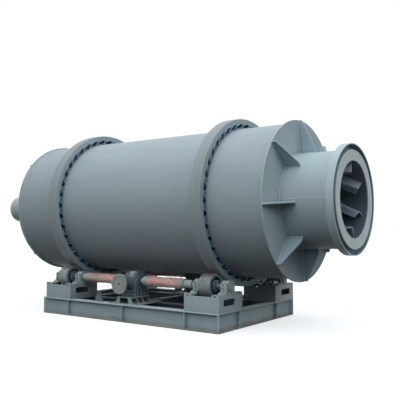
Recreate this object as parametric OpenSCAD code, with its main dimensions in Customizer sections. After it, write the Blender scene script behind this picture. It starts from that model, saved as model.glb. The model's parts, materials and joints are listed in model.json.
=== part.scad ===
// Rotary sand dryer: a riding drum on four driven rollers and a beam base.
// Millimetres, +Z up. +X runs along the drum to its open mouth, -Y is the side with the
// first drive. The origin is at the middle of the base, on the ground.

/* [Drum] */
// Outer radius of the drum shell
drum_r = 1100; // [900:10:1200]
// Length of the shell between its two end plates
drum_len = 4800; // [4400:20:5400]
// Thickness of the shell
shell_t = 16; // [8:1:25]
// How far the drum sits towards its mouth from the middle of the base
drum_shift = 8; // [-60:1:60]
// How far the mouth end plate stands out past the shell
lip_mouth = 42; // [10:1:60]
// How far the closed end plate stands out past the shell
lip_tail = 25; // [10:1:60]
// Thickness of both end plates
end_plate_t = 16; // [8:1:30]

/* [Riding rings] */
// Distance between the middles of the two riding rings
tyre_pitch = 2850; // [2600:10:3100]
// Width of a riding ring
tyre_w = 180; // [120:2:240]
// Radial thickness of a riding ring
tyre_t = 78; // [50:1:100]
// Gap between the shell and a ring, held by the bent spacers
spacer_h = 72; // [50:1:100]
// Number of spacers round a ring
spacer_count = 40; // [24:1:48]
// Thickness of a spacer's plate
spacer_t = 16; // [8:1:22]
// Length of a spacer along the drum
spacer_len = 194; // [140:2:260]
// Share of the spacers' spacing that a foot on the shell takes
spacer_foot = 0.72; // [0.5:0.01:0.9]
// Share of the spacers' spacing that the slanted web takes
spacer_slant = 0.3; // [0.1:0.01:0.4]
// Fitting gap of a spacer against the shell and the ring
spacer_fit = 0.2; // [0.1:0.05:0.5]
// Distance from a ring's middle to the lug under the shell
drum_lug_off = 301; // [250:1:340]
// Width of a lug under the shell
drum_lug_w = 196; // [140:2:220]
// How far that lug reaches down from the shell
drum_lug_h = 110; // [70:1:120]

/* [Mouth end] */
// Outer radius of the neck
neck_r = 668; // [600:4:720]
// Thickness of the neck
neck_t = 14; // [8:1:25]
// Length of the neck from the end plate to its front
neck_len = 782; // [600:2:900]
// How far the seal band stands out from the neck
band_out = 84; // [60:1:130]
// Length of the seal band
band_len = 100; // [60:2:140]
// Thickness of the band and of the back web that carries it
band_t = 12; // [8:1:20]
// Radial width of the annular mouth plate
mouth_ring_w = 131; // [90:1:160]
// Thickness of the mouth plate
mouth_t = 14; // [8:1:25]
// Thickness of the inner drum
inner_t = 10; // [6:1:16]
// Distance from the inner drum's closed end to the tail end plate
inner_back = 500; // [300:10:900]
// Gap between the inner drum and the mouth end plate
plate_gap = 40; // [20:2:80]

/* [Guide vanes] */
// Number of helical guide vanes in the mouth
vane_count = 7; // [4:1:9]
// Angle of a vane's front above the level line on the far side
vane_phase = -23.1; // [-30:0.1:30]
// Radial height of a vane
vane_h = 146; // [100:2:180]
// Length of a vane along the drum
vane_len = 900; // [600:10:1200]
// Turn of a vane over its length
vane_turn = 57; // [30:1:80]
// Thickness of a vane
vane_t = 10; // [6:1:16]
// Width of the bent lip on a vane's edge
vane_lip = 120; // [60:2:140]
// Bend between a vane's web and its lip
vane_bend = 84; // [60:1:95]
// Inside radius of that bend
vane_bend_r = 30; // [15:1:45]
// How far the lip's front corner is cut back from the front of the web
vane_cut = 70; // [0:2:120]
// Gap between a vane's root and the inner drum's wall
vane_gap = 0.3; // [0.2:0.1:1]
// Distance of the vanes from the mouth
vane_inset = 60; // [20:1:200]

/* [Gusset ribs] */
// Number of gusset ribs on an end plate
rib_count = 8; // [6:1:12]
// Thickness of a rib
rib_t = 14; // [8:1:25]
// Length of a rib along the neck
rib_len = 232; // [160:2:300]
// Height of a rib's blunt end above the neck
rib_blunt = 76; // [30:1:120]
// Length of a rib's straight top at the plate's edge
rib_top = 50; // [10:1:90]
// Angle of the first rib above the level line on the first drive's side
rib_phase = -4; // [-20:1:20]

/* [Tail end] */
// Length of the short neck at the closed end
tail_neck_len = 400; // [300:5:500]
// Outer radius of the pipe at the closed end
tail_pipe_r = 246; // [150:2:260]
// Length of that pipe
tail_pipe_len = 1000; // [600:10:1200]
// Thickness of that pipe
tail_pipe_t = 10; // [6:1:16]

/* [Rollers] */
// Radius of a support roller
roller_r = 170; // [130:1:200]
// Width of a support roller
roller_w = 186; // [160:2:240]
// How far the rollers sit from the middles of the rings, towards the closed end
roller_shift = 50; // [0:2:60]
// Angle between straight down and a roller, seen from the drum's axis
roller_angle = 33.6; // [28:0.1:38]
// Running gap between a riding ring and its rollers
run_gap = 0.3; // [0.2:0.1:1]
// Radial thickness of a roller's rim
roller_rim_t = 42; // [20:1:50]
// Thickness of a roller's web
roller_web_t = 56; // [30:2:120]
// Radius of a roller's hub
roller_hub_r = 84; // [70:1:110]
// Radius of the roller axles
axle_r = 48; // [35:1:60]

/* [Bearings] */
// Height of a bearing's centre above its seat
bearing_h = 100; // [80:1:130]
// Distance from a roller's middle to a bearing's middle
bearing_off = 232; // [205:1:240]
// Thickness of a bearing housing along the axle
bearing_w = 96; // [70:1:110]
// Half width of a bearing housing's body
bearing_r = 100; // [85:1:115]
// Height of a housing's flat top above the axle
cap_top = 86; // [75:1:100]
// Half width of that flat top
cap_flat = 36; // [20:1:50]
// Height above the axle at which the sloping sides of the top begin
cap_side = 28; // [10:1:50]
// Width of the raised rim at either end of a housing
bearing_rim_w = 20; // [12:1:30]
// Depth of the hollow between the two rims
bearing_hollow = 9; // [4:1:14]
// Length of a bearing's foot across the axle
bearing_foot = 340; // [300:2:380]
// Height of a bearing's foot
bearing_foot_h = 30; // [20:1:45]
// Height of the boss under each cap bolt, from the split
boss_h = 44; // [30:1:55]
// Radius of a cap bolt's boss
boss_r = 18; // [12:1:22]
// Radius of a foot bolt's hole
foot_bolt_r = 13; // [9:0.5:16]
// Distance from the end of a foot to its bolt
foot_bolt_in = 32; // [24:1:40]
// Radius of the round cover on a bearing's outer face
cover_r = 78; // [70:1:84]
// Radius of the raised middle of that cover
cover_mid_r = 56; // [50:1:64]
// Depth of that cover's flat rim
cover_rim_t = 14; // [8:1:16]
// Depth of the whole cover
cover_t = 26; // [18:1:35]
// Thickness of the closed covers' end wall
cover_skin = 6; // [4:1:10]
// Radial clearance between an axle and its bearings
bearing_clear = 0.05; // [0.02:0.01:0.1]

/* [Base] */
// How far the base runs out past the pedestals at its closed end
base_margin = 60; // [20:2:200]
// Distance from a roller's axle to the base's outer face
base_out = 307; // [285:1:340]
// Height of the base beams
beam_h = 262; // [200:2:300]
// Width of the beams' flanges
flange_w = 120; // [90:2:160]
// Thickness of the beams' flanges
flange_t = 16; // [10:1:22]
// Thickness of the beams' webs
web_t = 12; // [8:1:20]
// Thickness of the stiffener plates
stiff_t = 12; // [8:1:20]
// How far an inner beam's flange stands out past the pedestals
inner_lap = 6; // [0:1:20]
// Distance from the middle of the base to a base lug
lug_x = 540; // [450:5:700]
// Width of a base lug
lug_w = 164; // [100:2:180]
// Height of a base lug
lug_h = 150; // [110:2:180]
// Thickness of the lugs on the base and the shell
lug_t = 20; // [12:1:30]
// Radius of the hole in a lug
lug_hole_r = 24; // [15:1:30]

/* [Pedestals] */
// Height of a pedestal above the base
ped_h = 236; // [180:2:280]
// Length of a pedestal along the drum
ped_len = 570; // [560:2:620]
// Width of a pedestal across the drum
ped_w = 602; // [560:2:640]
// Thickness of the pedestal plates
ped_t = 16; // [10:1:22]
// How far the corners of the cross plates stand above the bearing seats
ped_ear = 14; // [6:1:30]
// How far the cross plates drop between the bearings
ped_drop = 20; // [10:1:60]
// Length of a raised corner
ear_w = 80; // [60:1:100]
// Length of the slope beside a raised corner
ear_slope = 26; // [10:1:40]
// Radius of the hole in a raised corner
ear_hole_r = 15; // [6:0.5:18]
// Width of a bearing seat
seat_w = 110; // [100:1:130]
// Distance from a cross plate's end to the hole in its raised corner
ear_hole_in = 60; // [40:1:70]
// Distance from a pedestal's outer face to the middle of its slots
slot_in = 264; // [220:2:340]
// Height of the middle of those slots above the base
slot_up = 130; // [100:2:160]
// Length of the slot in a pedestal's side plate
slot_len = 284; // [160:2:320]
// Height of that slot
slot_h = 92; // [60:1:110]
// Radius of that slot's corners
slot_r = 30; // [10:1:30]

/* [Drive] */
// Length of a gearbox housing along the shaft
gear_x = 230; // [200:2:260]
// Depth of a gearbox housing across the shaft
gear_y = 250; // [220:2:280]
// Height of a gearbox housing above the shaft
gear_up = 130; // [110:2:150]
// Radius of the shaft through the gearbox
shaft_r = 34; // [25:1:40]
// Radius of the round side covers of a gearbox
side_cover_r = 112; // [90:1:120]
// Depth of those side covers
side_cover_t = 14; // [8:1:20]
// Radius of the output hubs on the side covers
gear_hub_r = 74; // [60:1:85]
// Depth of the output hubs
gear_hub_t = 12; // [8:1:20]
// Height of a gearbox foot
gear_foot_h = 30; // [20:1:40]
// How far the foot reaches beyond the housing across the shaft
gear_foot_lap = 24; // [10:1:30]
// Thickness of the ribs between foot and side covers
gear_rib_t = 12; // [8:1:16]
// Large radius of the input bell
bell_r = 100; // [90:1:118]
// Radius of the input neck
neck_pipe_r = 78; // [70:1:95]
// Length of the input bell's cone
bell_len = 70; // [50:1:90]
// Width of the wedge over the input bell
wedge_w = 112; // [80:2:140]
// Side of the inspection cover on a gearbox
hatch_side = 130; // [100:2:150]
// Thickness of the inspection cover
hatch_t = 12; // [8:1:20]
// Drop of the input flange's centre below the shaft
input_drop = 28; // [0:1:40]
// Distance from the shaft to the face of the input flange
input_reach = 364; // [330:2:400]
// Outer radius of the input flange
input_flange_r = 150; // [150:1:160]
// Thickness of the input flange
input_flange_t = 18; // [12:1:24]
// Radius of the adapter behind the input flange
adapter_r = 96; // [90:1:105]
// Length of that adapter
adapter_len = 43; // [30:1:50]
// Radius of the input flange's spigot recess
spigot_r = 115; // [115:0.5:115]
// Depth of the spigot recess
spigot_deep = 6; // [3:0.5:8]
// Radius of the motor shaft's bore
motor_bore_r = 14; // [12:0.5:24]
// Pitch circle diameter of the input flange's bolt holes
input_pcd = 265; // [265:0.5:265]
// Radius of an input flange's bolt hole
input_hole_r = 7.25; // [7.25:0.05:7.25]

/* [Gearbox stand] */
// Height of the gearbox stand
stand_h = 104; // [80:2:130]
// Thickness of the stand's plates
stand_t = 14; // [8:1:20]
// How far the stand is set towards the mouth
stand_shift = 12; // [0:1:80]
// Length of the stand's top plate along the shaft
stand_top_x = 284; // [270:2:400]
// How far the top plate reaches out from the shaft
stand_top_out = 262; // [200:2:280]
// How far the top plate reaches in from the shaft
stand_top_in = 150; // [130:2:180]
// Length of the stand's base plate along the shaft
stand_low_x = 550; // [440:2:600]
// Distance between the stand's two walls
stand_wall_gap = 192; // [160:2:240]
// Width of a stand rib at its top
stand_rib_top = 30; // [15:1:40]
// Width of a stand rib at its foot
stand_rib_low = 74; // [45:1:90]

/* [Line shafts] */
// Radius of the drive tubes between gearbox and rollers
tube_r = 69; // [55:1:75]
// Wall of a drive tube
tube_wall = 8; // [5:1:12]
// Thickness of the wrapping round a drive tube
wrap_t = 7; // [3:1:8]
// Length of the coupling cone beside the gearbox
cone_len = 82; // [70:1:100]
// Radius of that cone's straight end
cone_r = 41; // [36:1:50]
// Length of that straight end
cone_straight = 26; // [10:1:35]
// Length of the coupling at the closed end
coupling_left = 96; // [80:1:120]
// Length of the coupling at the mouth end
coupling_right = 212; // [140:1:240]
// Gap between the mouth-end coupling and its bearing
coupling_gap = 48; // [30:1:120]
// Radius of the coupling discs
disc_r = 74; // [70:1:80]
// Thickness of a coupling disc
disc_t = 22; // [16:1:28]
// Radius of a coupling's waist
waist_r = 58; // [54:1:62]

/* [Hidden] */

paint = "#7e8f96";
paint_dark = "#56666d";
gear_grey = "#4d565c";
pale = "#a9b8b4";
wrap_pink = "#c98f8a";
bare = "#8d9192";

eps = 0.01;
far = 20000;
side = [-1, 1];

tyre_r = drum_r + spacer_h + tyre_t;
seat_z = beam_h + ped_h;
roller_z = seat_z + bearing_h;
ride_r = tyre_r + roller_r + run_gap;
roller_y = ride_r * sin(roller_angle);
axis_z = roller_z + ride_r * cos(roller_angle);

tyre_x = [-tyre_pitch / 2 + base_margin / 2, tyre_pitch / 2 + base_margin / 2];
base_len = tyre_pitch + ped_len + base_margin;
base_w = 2 * round(roller_y + base_out);
ped_y0 = base_w / 2 - ped_w;
inner_beam_y = ped_y0 - inner_lap + flange_w / 2;
cross_x = [-base_len / 2 + ped_len, 0, base_len / 2 - ped_len];

inner_r = neck_r - neck_t - mouth_ring_w;
band_r = neck_r + band_out;
plate_x = drum_shift + drum_len / 2;
tail_x = drum_shift - drum_len / 2;
plate_r = [drum_r + lip_tail, drum_r + lip_mouth];
neck_x = plate_x + end_plate_t;
mouth_x = neck_x + neck_len;
tail_neck_x = tail_x - end_plate_t;
tail_end_x = tail_neck_x - tail_neck_len;
bend_mid = vane_bend_r + vane_t / 2;

bearing_end = bearing_off + bearing_w / 2 + cover_t;
hub_out = gear_x / 2 + side_cover_t + gear_hub_t;
flange_back = input_reach - gear_y / 2 - input_flange_t - adapter_len;
gear_low = bearing_h + ped_h - stand_h;
axle_inset = 12;
coupling_play = 4;
roller_x = [tyre_x[0] - roller_shift, tyre_x[1] - roller_shift];
tube_start = hub_out + coupling_play + cone_len;
wrap_left = tyre_x[0] + bearing_end + coupling_play + coupling_left;
wrap_right = tyre_x[1] - bearing_end - coupling_gap - coupling_right;

// Point of the drum's cross section, its angle counted up from the first drive's side
function on_circle(r, angle) = [-r * cos(angle), r * sin(angle)];

// ---------- helpers ----------

// Lays a solid of revolution or a section drawn along +Z along +X, starting at x
module along_x(x = 0) {
    translate([x, 0, 0]) rotate([90, 0, 90]) children();
}

// Puts children on the drum's axis
module on_axis() {
    translate([0, 0, axis_z]) children();
}

// Tube along X
module tube_x(x, len, r_out, r_in) {
    along_x(x) difference() {
        cylinder(r = r_out, h = len, $fn = 96);
        translate([0, 0, -1]) cylinder(r = r_in, h = len + 2, $fn = 96);
    }
}

// Plain disc or bar along X
module bar_x(x, len, r) {
    along_x(x) cylinder(r = r, h = len, $fn = 64);
}

// Solid of revolution round X, its profile given as points of [radius, x]
module turned_x(points) {
    rotate([0, 90, 0]) rotate_extrude($fn = 96) polygon(points);
}

// Upper or lower half space, split on the plane through the origin
module half_space(low) {
    translate([-far / 2, -far / 2, low ? -far : 0]) cube(far);
}

// ---------- base ----------

// Section of a beam, centred on its web, standing on the ground
module beam_section() {
    translate([-flange_w / 2, 0]) square([flange_w, flange_t]);
    translate([-flange_w / 2, beam_h - flange_t]) square([flange_w, flange_t]);
    translate([-web_t / 2, flange_t - eps]) square([web_t, beam_h - 2 * flange_t + 2 * eps]);
}

// Beam along X between two stations, centred on y = 0
module beam_x(x0, x1) {
    translate([x0, 0, 0]) rotate([90, 0, 90]) linear_extrude(height = x1 - x0) beam_section();
}

// Beam along Y between two stations, centred on x = 0
module beam_y(y0, y1) {
    translate([0, y1, 0]) rotate([90, 0, 0]) linear_extrude(height = y1 - y0) beam_section();
}

// Full-depth stiffener plate across a beam that runs along X
module stiffener_x(x) {
    translate([x - stiff_t / 2, -flange_w / 2, flange_t - eps])
        cube([stiff_t, flange_w, beam_h - 2 * flange_t + 2 * eps]);
}

// Prism that mitres an outer beam at both corners: long outside edge on y = 0
module mitre_x(len) {
    linear_extrude(height = beam_h)
        polygon([[-len / 2, 0], [len / 2, 0], [len / 2 - flange_w, flange_w],
                 [-len / 2 + flange_w, flange_w]]);
}

// Full-depth plates on the mitres of an outer beam, half of each in either beam
module mitre_plates(len) {
    for (m = [0, 1]) mirror([m, 0, 0]) translate([-len / 2, 0, flange_t - eps]) rotate([0, 0, 45])
        translate([0, -stiff_t, 0])
            cube([flange_w * sqrt(2), 2 * stiff_t, beam_h - 2 * flange_t + 2 * eps]);
}

// Front or rear beam with its stiffeners, its outer face on y = 0
module outer_beam_long() {
    intersection() {
        translate([0, flange_w / 2, 0]) union() {
            beam_x(-base_len / 2, base_len / 2);
            for (x = cross_x) stiffener_x(x);
            translate([0, -flange_w / 2, 0]) mitre_plates(base_len);
        }
        mitre_x(base_len);
    }
}

// End beam with its stiffeners, its outer face on y = 0
module outer_beam_end() {
    intersection() {
        translate([0, flange_w / 2, 0]) union() {
            beam_x(-base_w / 2, base_w / 2);
            for (y = side) stiffener_x(y * inner_beam_y);
            translate([0, -flange_w / 2, 0]) mitre_plates(base_w);
        }
        mitre_x(base_w);
    }
}

// Outer beams
module beam_front() {
    color(paint) translate([0, -base_w / 2, 0]) outer_beam_long();
}

module beam_rear() {
    color(paint) rotate([0, 0, 180]) translate([0, -base_w / 2, 0]) outer_beam_long();
}

module beam_left() {
    color(paint) rotate([0, 0, -90]) translate([0, -base_len / 2, 0]) outer_beam_end();
}

module beam_right() {
    color(paint) rotate([0, 0, 90]) translate([0, -base_len / 2, 0]) outer_beam_end();
}

// The two long beams under the pedestals' inner plates
module inner_beams() {
    color(paint_dark) for (s = side) translate([0, s * inner_beam_y, 0])
        beam_x(-base_len / 2 + flange_w, base_len / 2 - flange_w);
}

// Short beams out to the front and rear beams, and long ones between the inner beams
module cross_beams() {
    outer0 = inner_beam_y + flange_w / 2;
    outer1 = base_w / 2 - flange_w;
    color(paint_dark) for (x = cross_x) translate([x, 0, 0]) {
        beam_y(-outer1, -outer0);
        beam_y(outer0, outer1);
        beam_y(-inner_beam_y + flange_w / 2, inner_beam_y - flange_w / 2);
    }
}

// Outline of a lifting lug: a wide root on the x axis and a round tip with a hole
module lug_outline(width, height) {
    tip_r = lug_hole_r * 1.75;
    difference() {
        hull() {
            translate([-width / 2, 0]) square([width, lug_t / 2]);
            translate([0, height - tip_r]) circle(r = tip_r, $fn = 32);
        }
        translate([0, height - tip_r]) circle(r = lug_hole_r, $fn = 32);
    }
}

// Lifting lugs on the front and rear beams
module base_lugs() {
    color(paint) for (s = side)
        translate([-lug_x, s * (base_w / 2 - flange_w + 2 * lug_t) + lug_t / 2, beam_h])
            rotate([90, 0, 0]) linear_extrude(height = lug_t) lug_outline(lug_w, lug_h);
}

// ---------- pedestals ----------

// Cross plate with raised ears in front of the bearings and a dropped middle
module cross_plate() {
    rotate([90, 0, 0]) linear_extrude(height = ped_t) difference() {
        polygon([[-ped_len / 2, 0], [ped_len / 2, 0],
                 [ped_len / 2, ped_h + ped_ear], [ped_len / 2 - ear_w, ped_h + ped_ear],
                 [ped_len / 2 - ear_w - ear_slope, ped_h - ped_drop],
                 [-ped_len / 2 + ear_w + ear_slope, ped_h - ped_drop],
                 [-ped_len / 2 + ear_w, ped_h + ped_ear], [-ped_len / 2, ped_h + ped_ear]]);
        for (s = side) translate([s * (ped_len / 2 - ear_hole_in), ped_h - ear_hole_r])
            circle(r = ear_hole_r, $fn = 24);
    }
}

// Side plate with a round-ended slot
module side_plate() {
    rotate([90, 0, 90]) linear_extrude(height = ped_t) difference() {
        translate([ped_t, 0]) square([ped_w - 2 * ped_t, ped_h]);
        translate([slot_in - slot_len / 2, slot_up - slot_h / 2]) slot_outline();
    }
}

// Outline of a pedestal slot with rounded corners
module slot_outline() {
    translate([slot_r, 0]) square([slot_len - 2 * slot_r, slot_h]);
    translate([0, slot_r]) square([slot_len, slot_h - 2 * slot_r]);
    for (x = [slot_r, slot_len - slot_r], y = [slot_r, slot_h - slot_r])
        translate([x, y]) circle(r = slot_r, $fn = 24);
}

// One pedestal: outer face on y = 0, centred on x = 0, standing on z = 0
module pedestal() {
    translate([0, ped_t, 0]) cross_plate();
    translate([0, ped_w, 0]) cross_plate();
    translate([-ped_len / 2, 0, 0]) side_plate();
    translate([ped_len / 2 - ped_t, 0, 0]) side_plate();
    for (s = side)
        translate([s * (ped_len / 2 - ped_t - seat_w / 2) - seat_w / 2, ped_t, ped_h - ped_t])
            cube([seat_w, ped_w - 2 * ped_t, ped_t]);
}

// Pedestal i along the drum, on the side s of it
module place_pedestal(i, s) {
    translate([tyre_x[i], s * base_w / 2, beam_h]) mirror([0, s > 0 ? 1 : 0, 0]) pedestal();
}

module pedestal_front_left() {
    color(paint) place_pedestal(0, -1);
}

module pedestal_front_right() {
    color(paint) place_pedestal(1, -1);
}

module pedestal_rear_left() {
    color(paint) place_pedestal(0, 1);
}

module pedestal_rear_right() {
    color(paint) place_pedestal(1, 1);
}

// ---------- bearings ----------

// Body of a housing across the axle, its centre on the axle and its sides drawn in by d
module bearing_body(d) {
    foot_top = bearing_foot_h - bearing_h;
    r = bearing_r - d;
    polygon([[-r, foot_top - 1], [-r, cap_side], [-cap_flat, cap_top - d],
             [cap_flat, cap_top - d], [r, cap_side], [r, foot_top - 1]]);
}

// Foot of a housing, with its sloping shoulders
module bearing_foot_outline() {
    foot_top = bearing_foot_h - bearing_h;
    half = bearing_foot / 2;
    flare = (half - bearing_r) * 0.3;
    polygon([[-bearing_r, foot_top + flare], [-bearing_r - flare, foot_top],
             [-half, foot_top - flare / 2], [-half, -bearing_h], [half, -bearing_h],
             [half, foot_top - flare / 2], [bearing_r + flare, foot_top],
             [bearing_r, foot_top + flare]]);
}

// Whole housing without its cover: two rims, the hollow body between them and the foot
module bearing_block() {
    translate([-bearing_w / 2, 0, 0]) rotate([90, 0, 90]) {
        linear_extrude(height = bearing_w) bearing_body(bearing_hollow);
        linear_extrude(height = bearing_w) bearing_foot_outline();
        for (x = [0, bearing_w - bearing_rim_w]) translate([0, 0, x])
            linear_extrude(height = bearing_rim_w) bearing_body(0);
    }
}

// Lower or upper halves of all the housings; those at the ends of a line have closed covers
module bearing_halves(low) {
    for (s = side, i = [0, 1], o = side)
        translate([tyre_x[i] + o * bearing_off, s * roller_y, roller_z])
            rotate([0, 0, o > 0 ? 0 : 180]) bearing_half(low, o == side[i]);
}

// Lower or upper half of a housing, with its half of the round cover and the bolt bosses
module bearing_half(low, closed) {
    bore_end = bearing_w / 2 + (closed ? cover_t - cover_skin : cover_t + 1);
    difference() {
        intersection() {
            union() {
                bearing_block();
                bar_x(bearing_w / 2 - 1, cover_rim_t + 1, cover_r);
                bar_x(bearing_w / 2 - 1, cover_t + 1, cover_mid_r);
                for (s = side, o = side)
                    translate([o * (bearing_w / 2 - boss_r), s * bearing_r, -boss_h])
                        cylinder(r = boss_r, h = 2 * boss_h, $fn = 32);
            }
            half_space(low);
        }
        bar_x(-bearing_w, bearing_w + bore_end, axle_r + bearing_clear);
        for (s = side) translate([0, s * (bearing_foot / 2 - foot_bolt_in), -bearing_h - 1])
            cylinder(r = foot_bolt_r, h = bearing_foot_h + 2, $fn = 32);
    }
}

module bearing_bases() {
    color(paint) bearing_halves(true);
}

module bearing_caps() {
    color(paint) bearing_halves(false);
}

// ---------- drive ----------

// Children on both drive lines: local +Y points away from the drum's middle plane
module at_drive(s) {
    translate([0, s * roller_y, roller_z]) mirror([0, s > 0 ? 0 : 1, 0]) children();
}

// Rib of the stand: upright against a wall, wider at its foot
module stand_rib() {
    rotate([90, 0, 0]) linear_extrude(height = stand_t)
        polygon([[-eps, stand_t - eps], [stand_rib_low, stand_t - eps],
                 [stand_rib_top, stand_h - stand_t + eps], [-eps, stand_h - stand_t + eps]]);
}

// Welded stand: base plate, top plate, two walls and their ribs
module gearbox_stand() {
    wall_h = stand_h - 2 * stand_t + 2 * eps;
    top_y = stand_top_out + stand_top_in;
    low_y0 = inner_beam_y - flange_w / 2 - roller_y;
    low_y1 = base_out - stand_t;
    rib_y = [stand_t - stand_top_in, stand_t / 2, stand_top_out / 2, stand_top_out];
    translate([stand_shift, 0, -bearing_h - ped_h]) {
        translate([-stand_low_x / 2, low_y0, 0])
            cube([stand_low_x, low_y1 - low_y0, stand_t]);
        translate([-stand_top_x / 2, -stand_top_in, stand_h - stand_t])
            cube([stand_top_x, top_y, stand_t]);
        for (m = [0, 1]) mirror([m, 0, 0]) translate([stand_wall_gap / 2, 0, 0]) {
            translate([-stand_t, -stand_top_in, stand_t - eps]) cube([stand_t, top_y, wall_h]);
            for (y = rib_y) translate([0, y, 0]) stand_rib();
        }
    }
}

module gearbox_stands() {
    color(paint_dark) for (s = side) at_drive(s) gearbox_stand();
}

// Housing profile across the shaft, its centre on the shaft, with cut upper corners
module gear_outline() {
    half = gear_y / 2;
    foot = gear_foot_h - gear_low - 1;
    polygon([[-half, foot], [half, foot], [half, gear_up * 0.4], [half * 0.55, gear_up],
             [-half * 0.75, gear_up], [-half, gear_up * 0.6]]);
}

// Ribs that carry a side cover down to the foot
module gear_ribs() {
    out = gear_x / 2 + side_cover_t;
    for (y = [-0.3, 0, 0.3] * gear_y) translate([-out, y - gear_rib_t / 2, -gear_low])
        cube([2 * out, gear_rib_t, gear_low - gear_hub_r / 2]);
}

// Input bell housing and its neck, up to the back of the input flange
module input_bell() {
    translate([0, gear_y / 2 - 1, -input_drop]) rotate([-90, 0, 0]) {
        cylinder(r1 = bell_r, r2 = neck_pipe_r, h = bell_len, $fn = 64);
        cylinder(r = neck_pipe_r, h = flange_back + 1, $fn = 64);
    }
}

// Three-cornered wedge that stands proud of the housing and the bell
module bell_wedge() {
    back = gear_y * 0.2;
    tip = gear_y / 2 + bell_len * 0.8;
    half = wedge_w / 2;
    blunt = half * 0.15;
    intersection() {
        translate([-half, 0, 0]) rotate([90, 0, 90]) linear_extrude(height = wedge_w)
            polygon([[back, 0], [tip, 0], [tip, gear_up / 2], [back, gear_up + hatch_t / 2]]);
        linear_extrude(height = gear_up + hatch_t)
            polygon([[-half, back], [half, back], [blunt, tip], [-blunt, tip]]);
    }
}

module gearbox() {
    foot_x = stand_top_x - stand_t;
    foot_y = gear_y + 2 * gear_foot_lap;
    difference() {
        union() {
            translate([-gear_x / 2, 0, 0]) rotate([90, 0, 90]) linear_extrude(height = gear_x)
                gear_outline();
            translate([stand_shift - foot_x / 2, -foot_y / 2, -gear_low])
                cube([foot_x, foot_y, gear_foot_h]);
            bar_x(-gear_x / 2 - side_cover_t, gear_x + 2 * side_cover_t, side_cover_r);
            bar_x(-hub_out, 2 * hub_out, gear_hub_r);
            gear_ribs();
            input_bell();
            bell_wedge();
            translate([-hatch_side / 2, -hatch_side * 0.6, gear_up - 1])
                cube([hatch_side, hatch_side, hatch_t + 1]);
        }
        bar_x(-gear_x, gear_x * 2, shaft_r + bearing_clear);
    }
}

module gearbox_front() {
    color(gear_grey) at_drive(-1) gearbox();
}

module gearbox_rear() {
    color(gear_grey) at_drive(1) gearbox();
}

// Round input flange that waits for its motor
module motor_flange() {
    face = adapter_len + input_flange_t;
    translate([0, gear_y / 2 + flange_back, -input_drop]) rotate([-90, 0, 0]) difference() {
        union() {
            cylinder(r = adapter_r, h = adapter_len + 1, $fn = 64);
            translate([0, 0, adapter_len]) cylinder(r = input_flange_r, h = input_flange_t, $fn = 96);
        }
        translate([0, 0, face - spigot_deep]) cylinder(r = spigot_r, h = far, $fn = 96);
        translate([0, 0, input_flange_t]) cylinder(r = motor_bore_r, h = far, $fn = 48);
        for (i = [0:3]) rotate([0, 0, 45 + i * 90]) translate([input_pcd / 2, 0, -1])
            cylinder(r = input_hole_r, h = face + 2, $fn = 32);
    }
}

module motor_flange_front() {
    color(pale) at_drive(-1) motor_flange();
}

module motor_flange_rear() {
    color(pale) at_drive(1) motor_flange();
}

// ---------- rotating drum ----------

module drum_shell() {
    color(paint) on_axis() tube_x(tail_x, drum_len, drum_r, drum_r - shell_t);
}

// Riding ring i with chamfered edges
module tyre(i) {
    c = tyre_t * 0.08;
    w = tyre_w / 2;
    inner = tyre_r - tyre_t;
    on_axis() translate([tyre_x[i], 0, 0]) rotate([0, 90, 0]) rotate_extrude($fn = 128)
        polygon([[inner, -w], [tyre_r - c, -w], [tyre_r, c - w], [tyre_r, w - c],
                 [tyre_r - c, w], [inner, w]]);
}

module tyre_left() {
    color(paint) tyre(0);
}

module tyre_right() {
    color(paint) tyre(1);
}

// Section of one bent spacer: a foot on the shell, a slanted web and an arm under the ring
module spacer_section() {
    step = 360 / spacer_count;
    low = drum_r + spacer_fit;
    high = drum_r + spacer_h - spacer_fit;
    share = spacer_t / spacer_h;
    web = spacer_t / (PI * low / 180) * 1.25;
    foot = spacer_foot * step;
    slant = spacer_slant * step;
    polygon([
        for (k = [0:3]) on_circle(low, foot * k / 3),
        for (k = [1:-1:0]) on_circle(low + spacer_t, foot * (k + 1) / 2),
        on_circle(low + spacer_t, slant * share + web),
        on_circle(high - spacer_t, slant * (1 - share) + web),
        on_circle(high - spacer_t, foot),
        for (k = [2:-1:0]) on_circle(high, slant + (foot - slant) * k / 2)
    ]);
}

module tyre_spacers(i) {
    on_axis() for (k = [0:spacer_count - 1]) along_x(tyre_x[i] - spacer_len / 2)
        rotate([0, 0, k * 360 / spacer_count]) linear_extrude(height = spacer_len)
            spacer_section();
}

module tyre_spacers_left() {
    color(paint_dark) tyre_spacers(0);
}

module tyre_spacers_right() {
    color(paint_dark) tyre_spacers(1);
}

module end_plate_mouth() {
    color(paint) on_axis() tube_x(plate_x, end_plate_t, plate_r[1], inner_r + inner_t + plate_gap);
}

// One rib, its foot on the end plate at x = 0 and its root on the neck
module rib(r_edge) {
    translate([0, rib_t / 2, 0]) rotate([90, 0, 0]) linear_extrude(height = rib_t)
        polygon([[0, neck_r - 6], [rib_len, neck_r - 6], [rib_len, neck_r + rib_blunt],
                 [rib_top, r_edge], [0, r_edge]]);
}

// Ribs round a neck, with their roots cut to its round face
module ribs(r_edge) {
    difference() {
        for (k = [0:rib_count - 1])
            rotate([90 - rib_phase + k * 360 / rib_count, 0, 0]) rib(r_edge);
        along_x(-1) cylinder(r = neck_r, h = rib_len + 2, $fn = 256);
    }
}

module ribs_mouth() {
    color(paint) on_axis() translate([neck_x, 0, 0]) ribs(plate_r[1] - 5);
}

module neck_mouth() {
    color(paint) on_axis() tube_x(neck_x, neck_len, neck_r, neck_r - neck_t);
}

// Band that stands off the neck, carried by its back web
module seal_band() {
    color(paint) on_axis() {
        difference() {
            bar_x(mouth_x - band_len, band_len, band_r);
            bar_x(mouth_x - band_len + band_t, band_len, band_r - band_t);
            bar_x(mouth_x - band_len - 1, band_len, neck_r);
        }
    }
}

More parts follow.
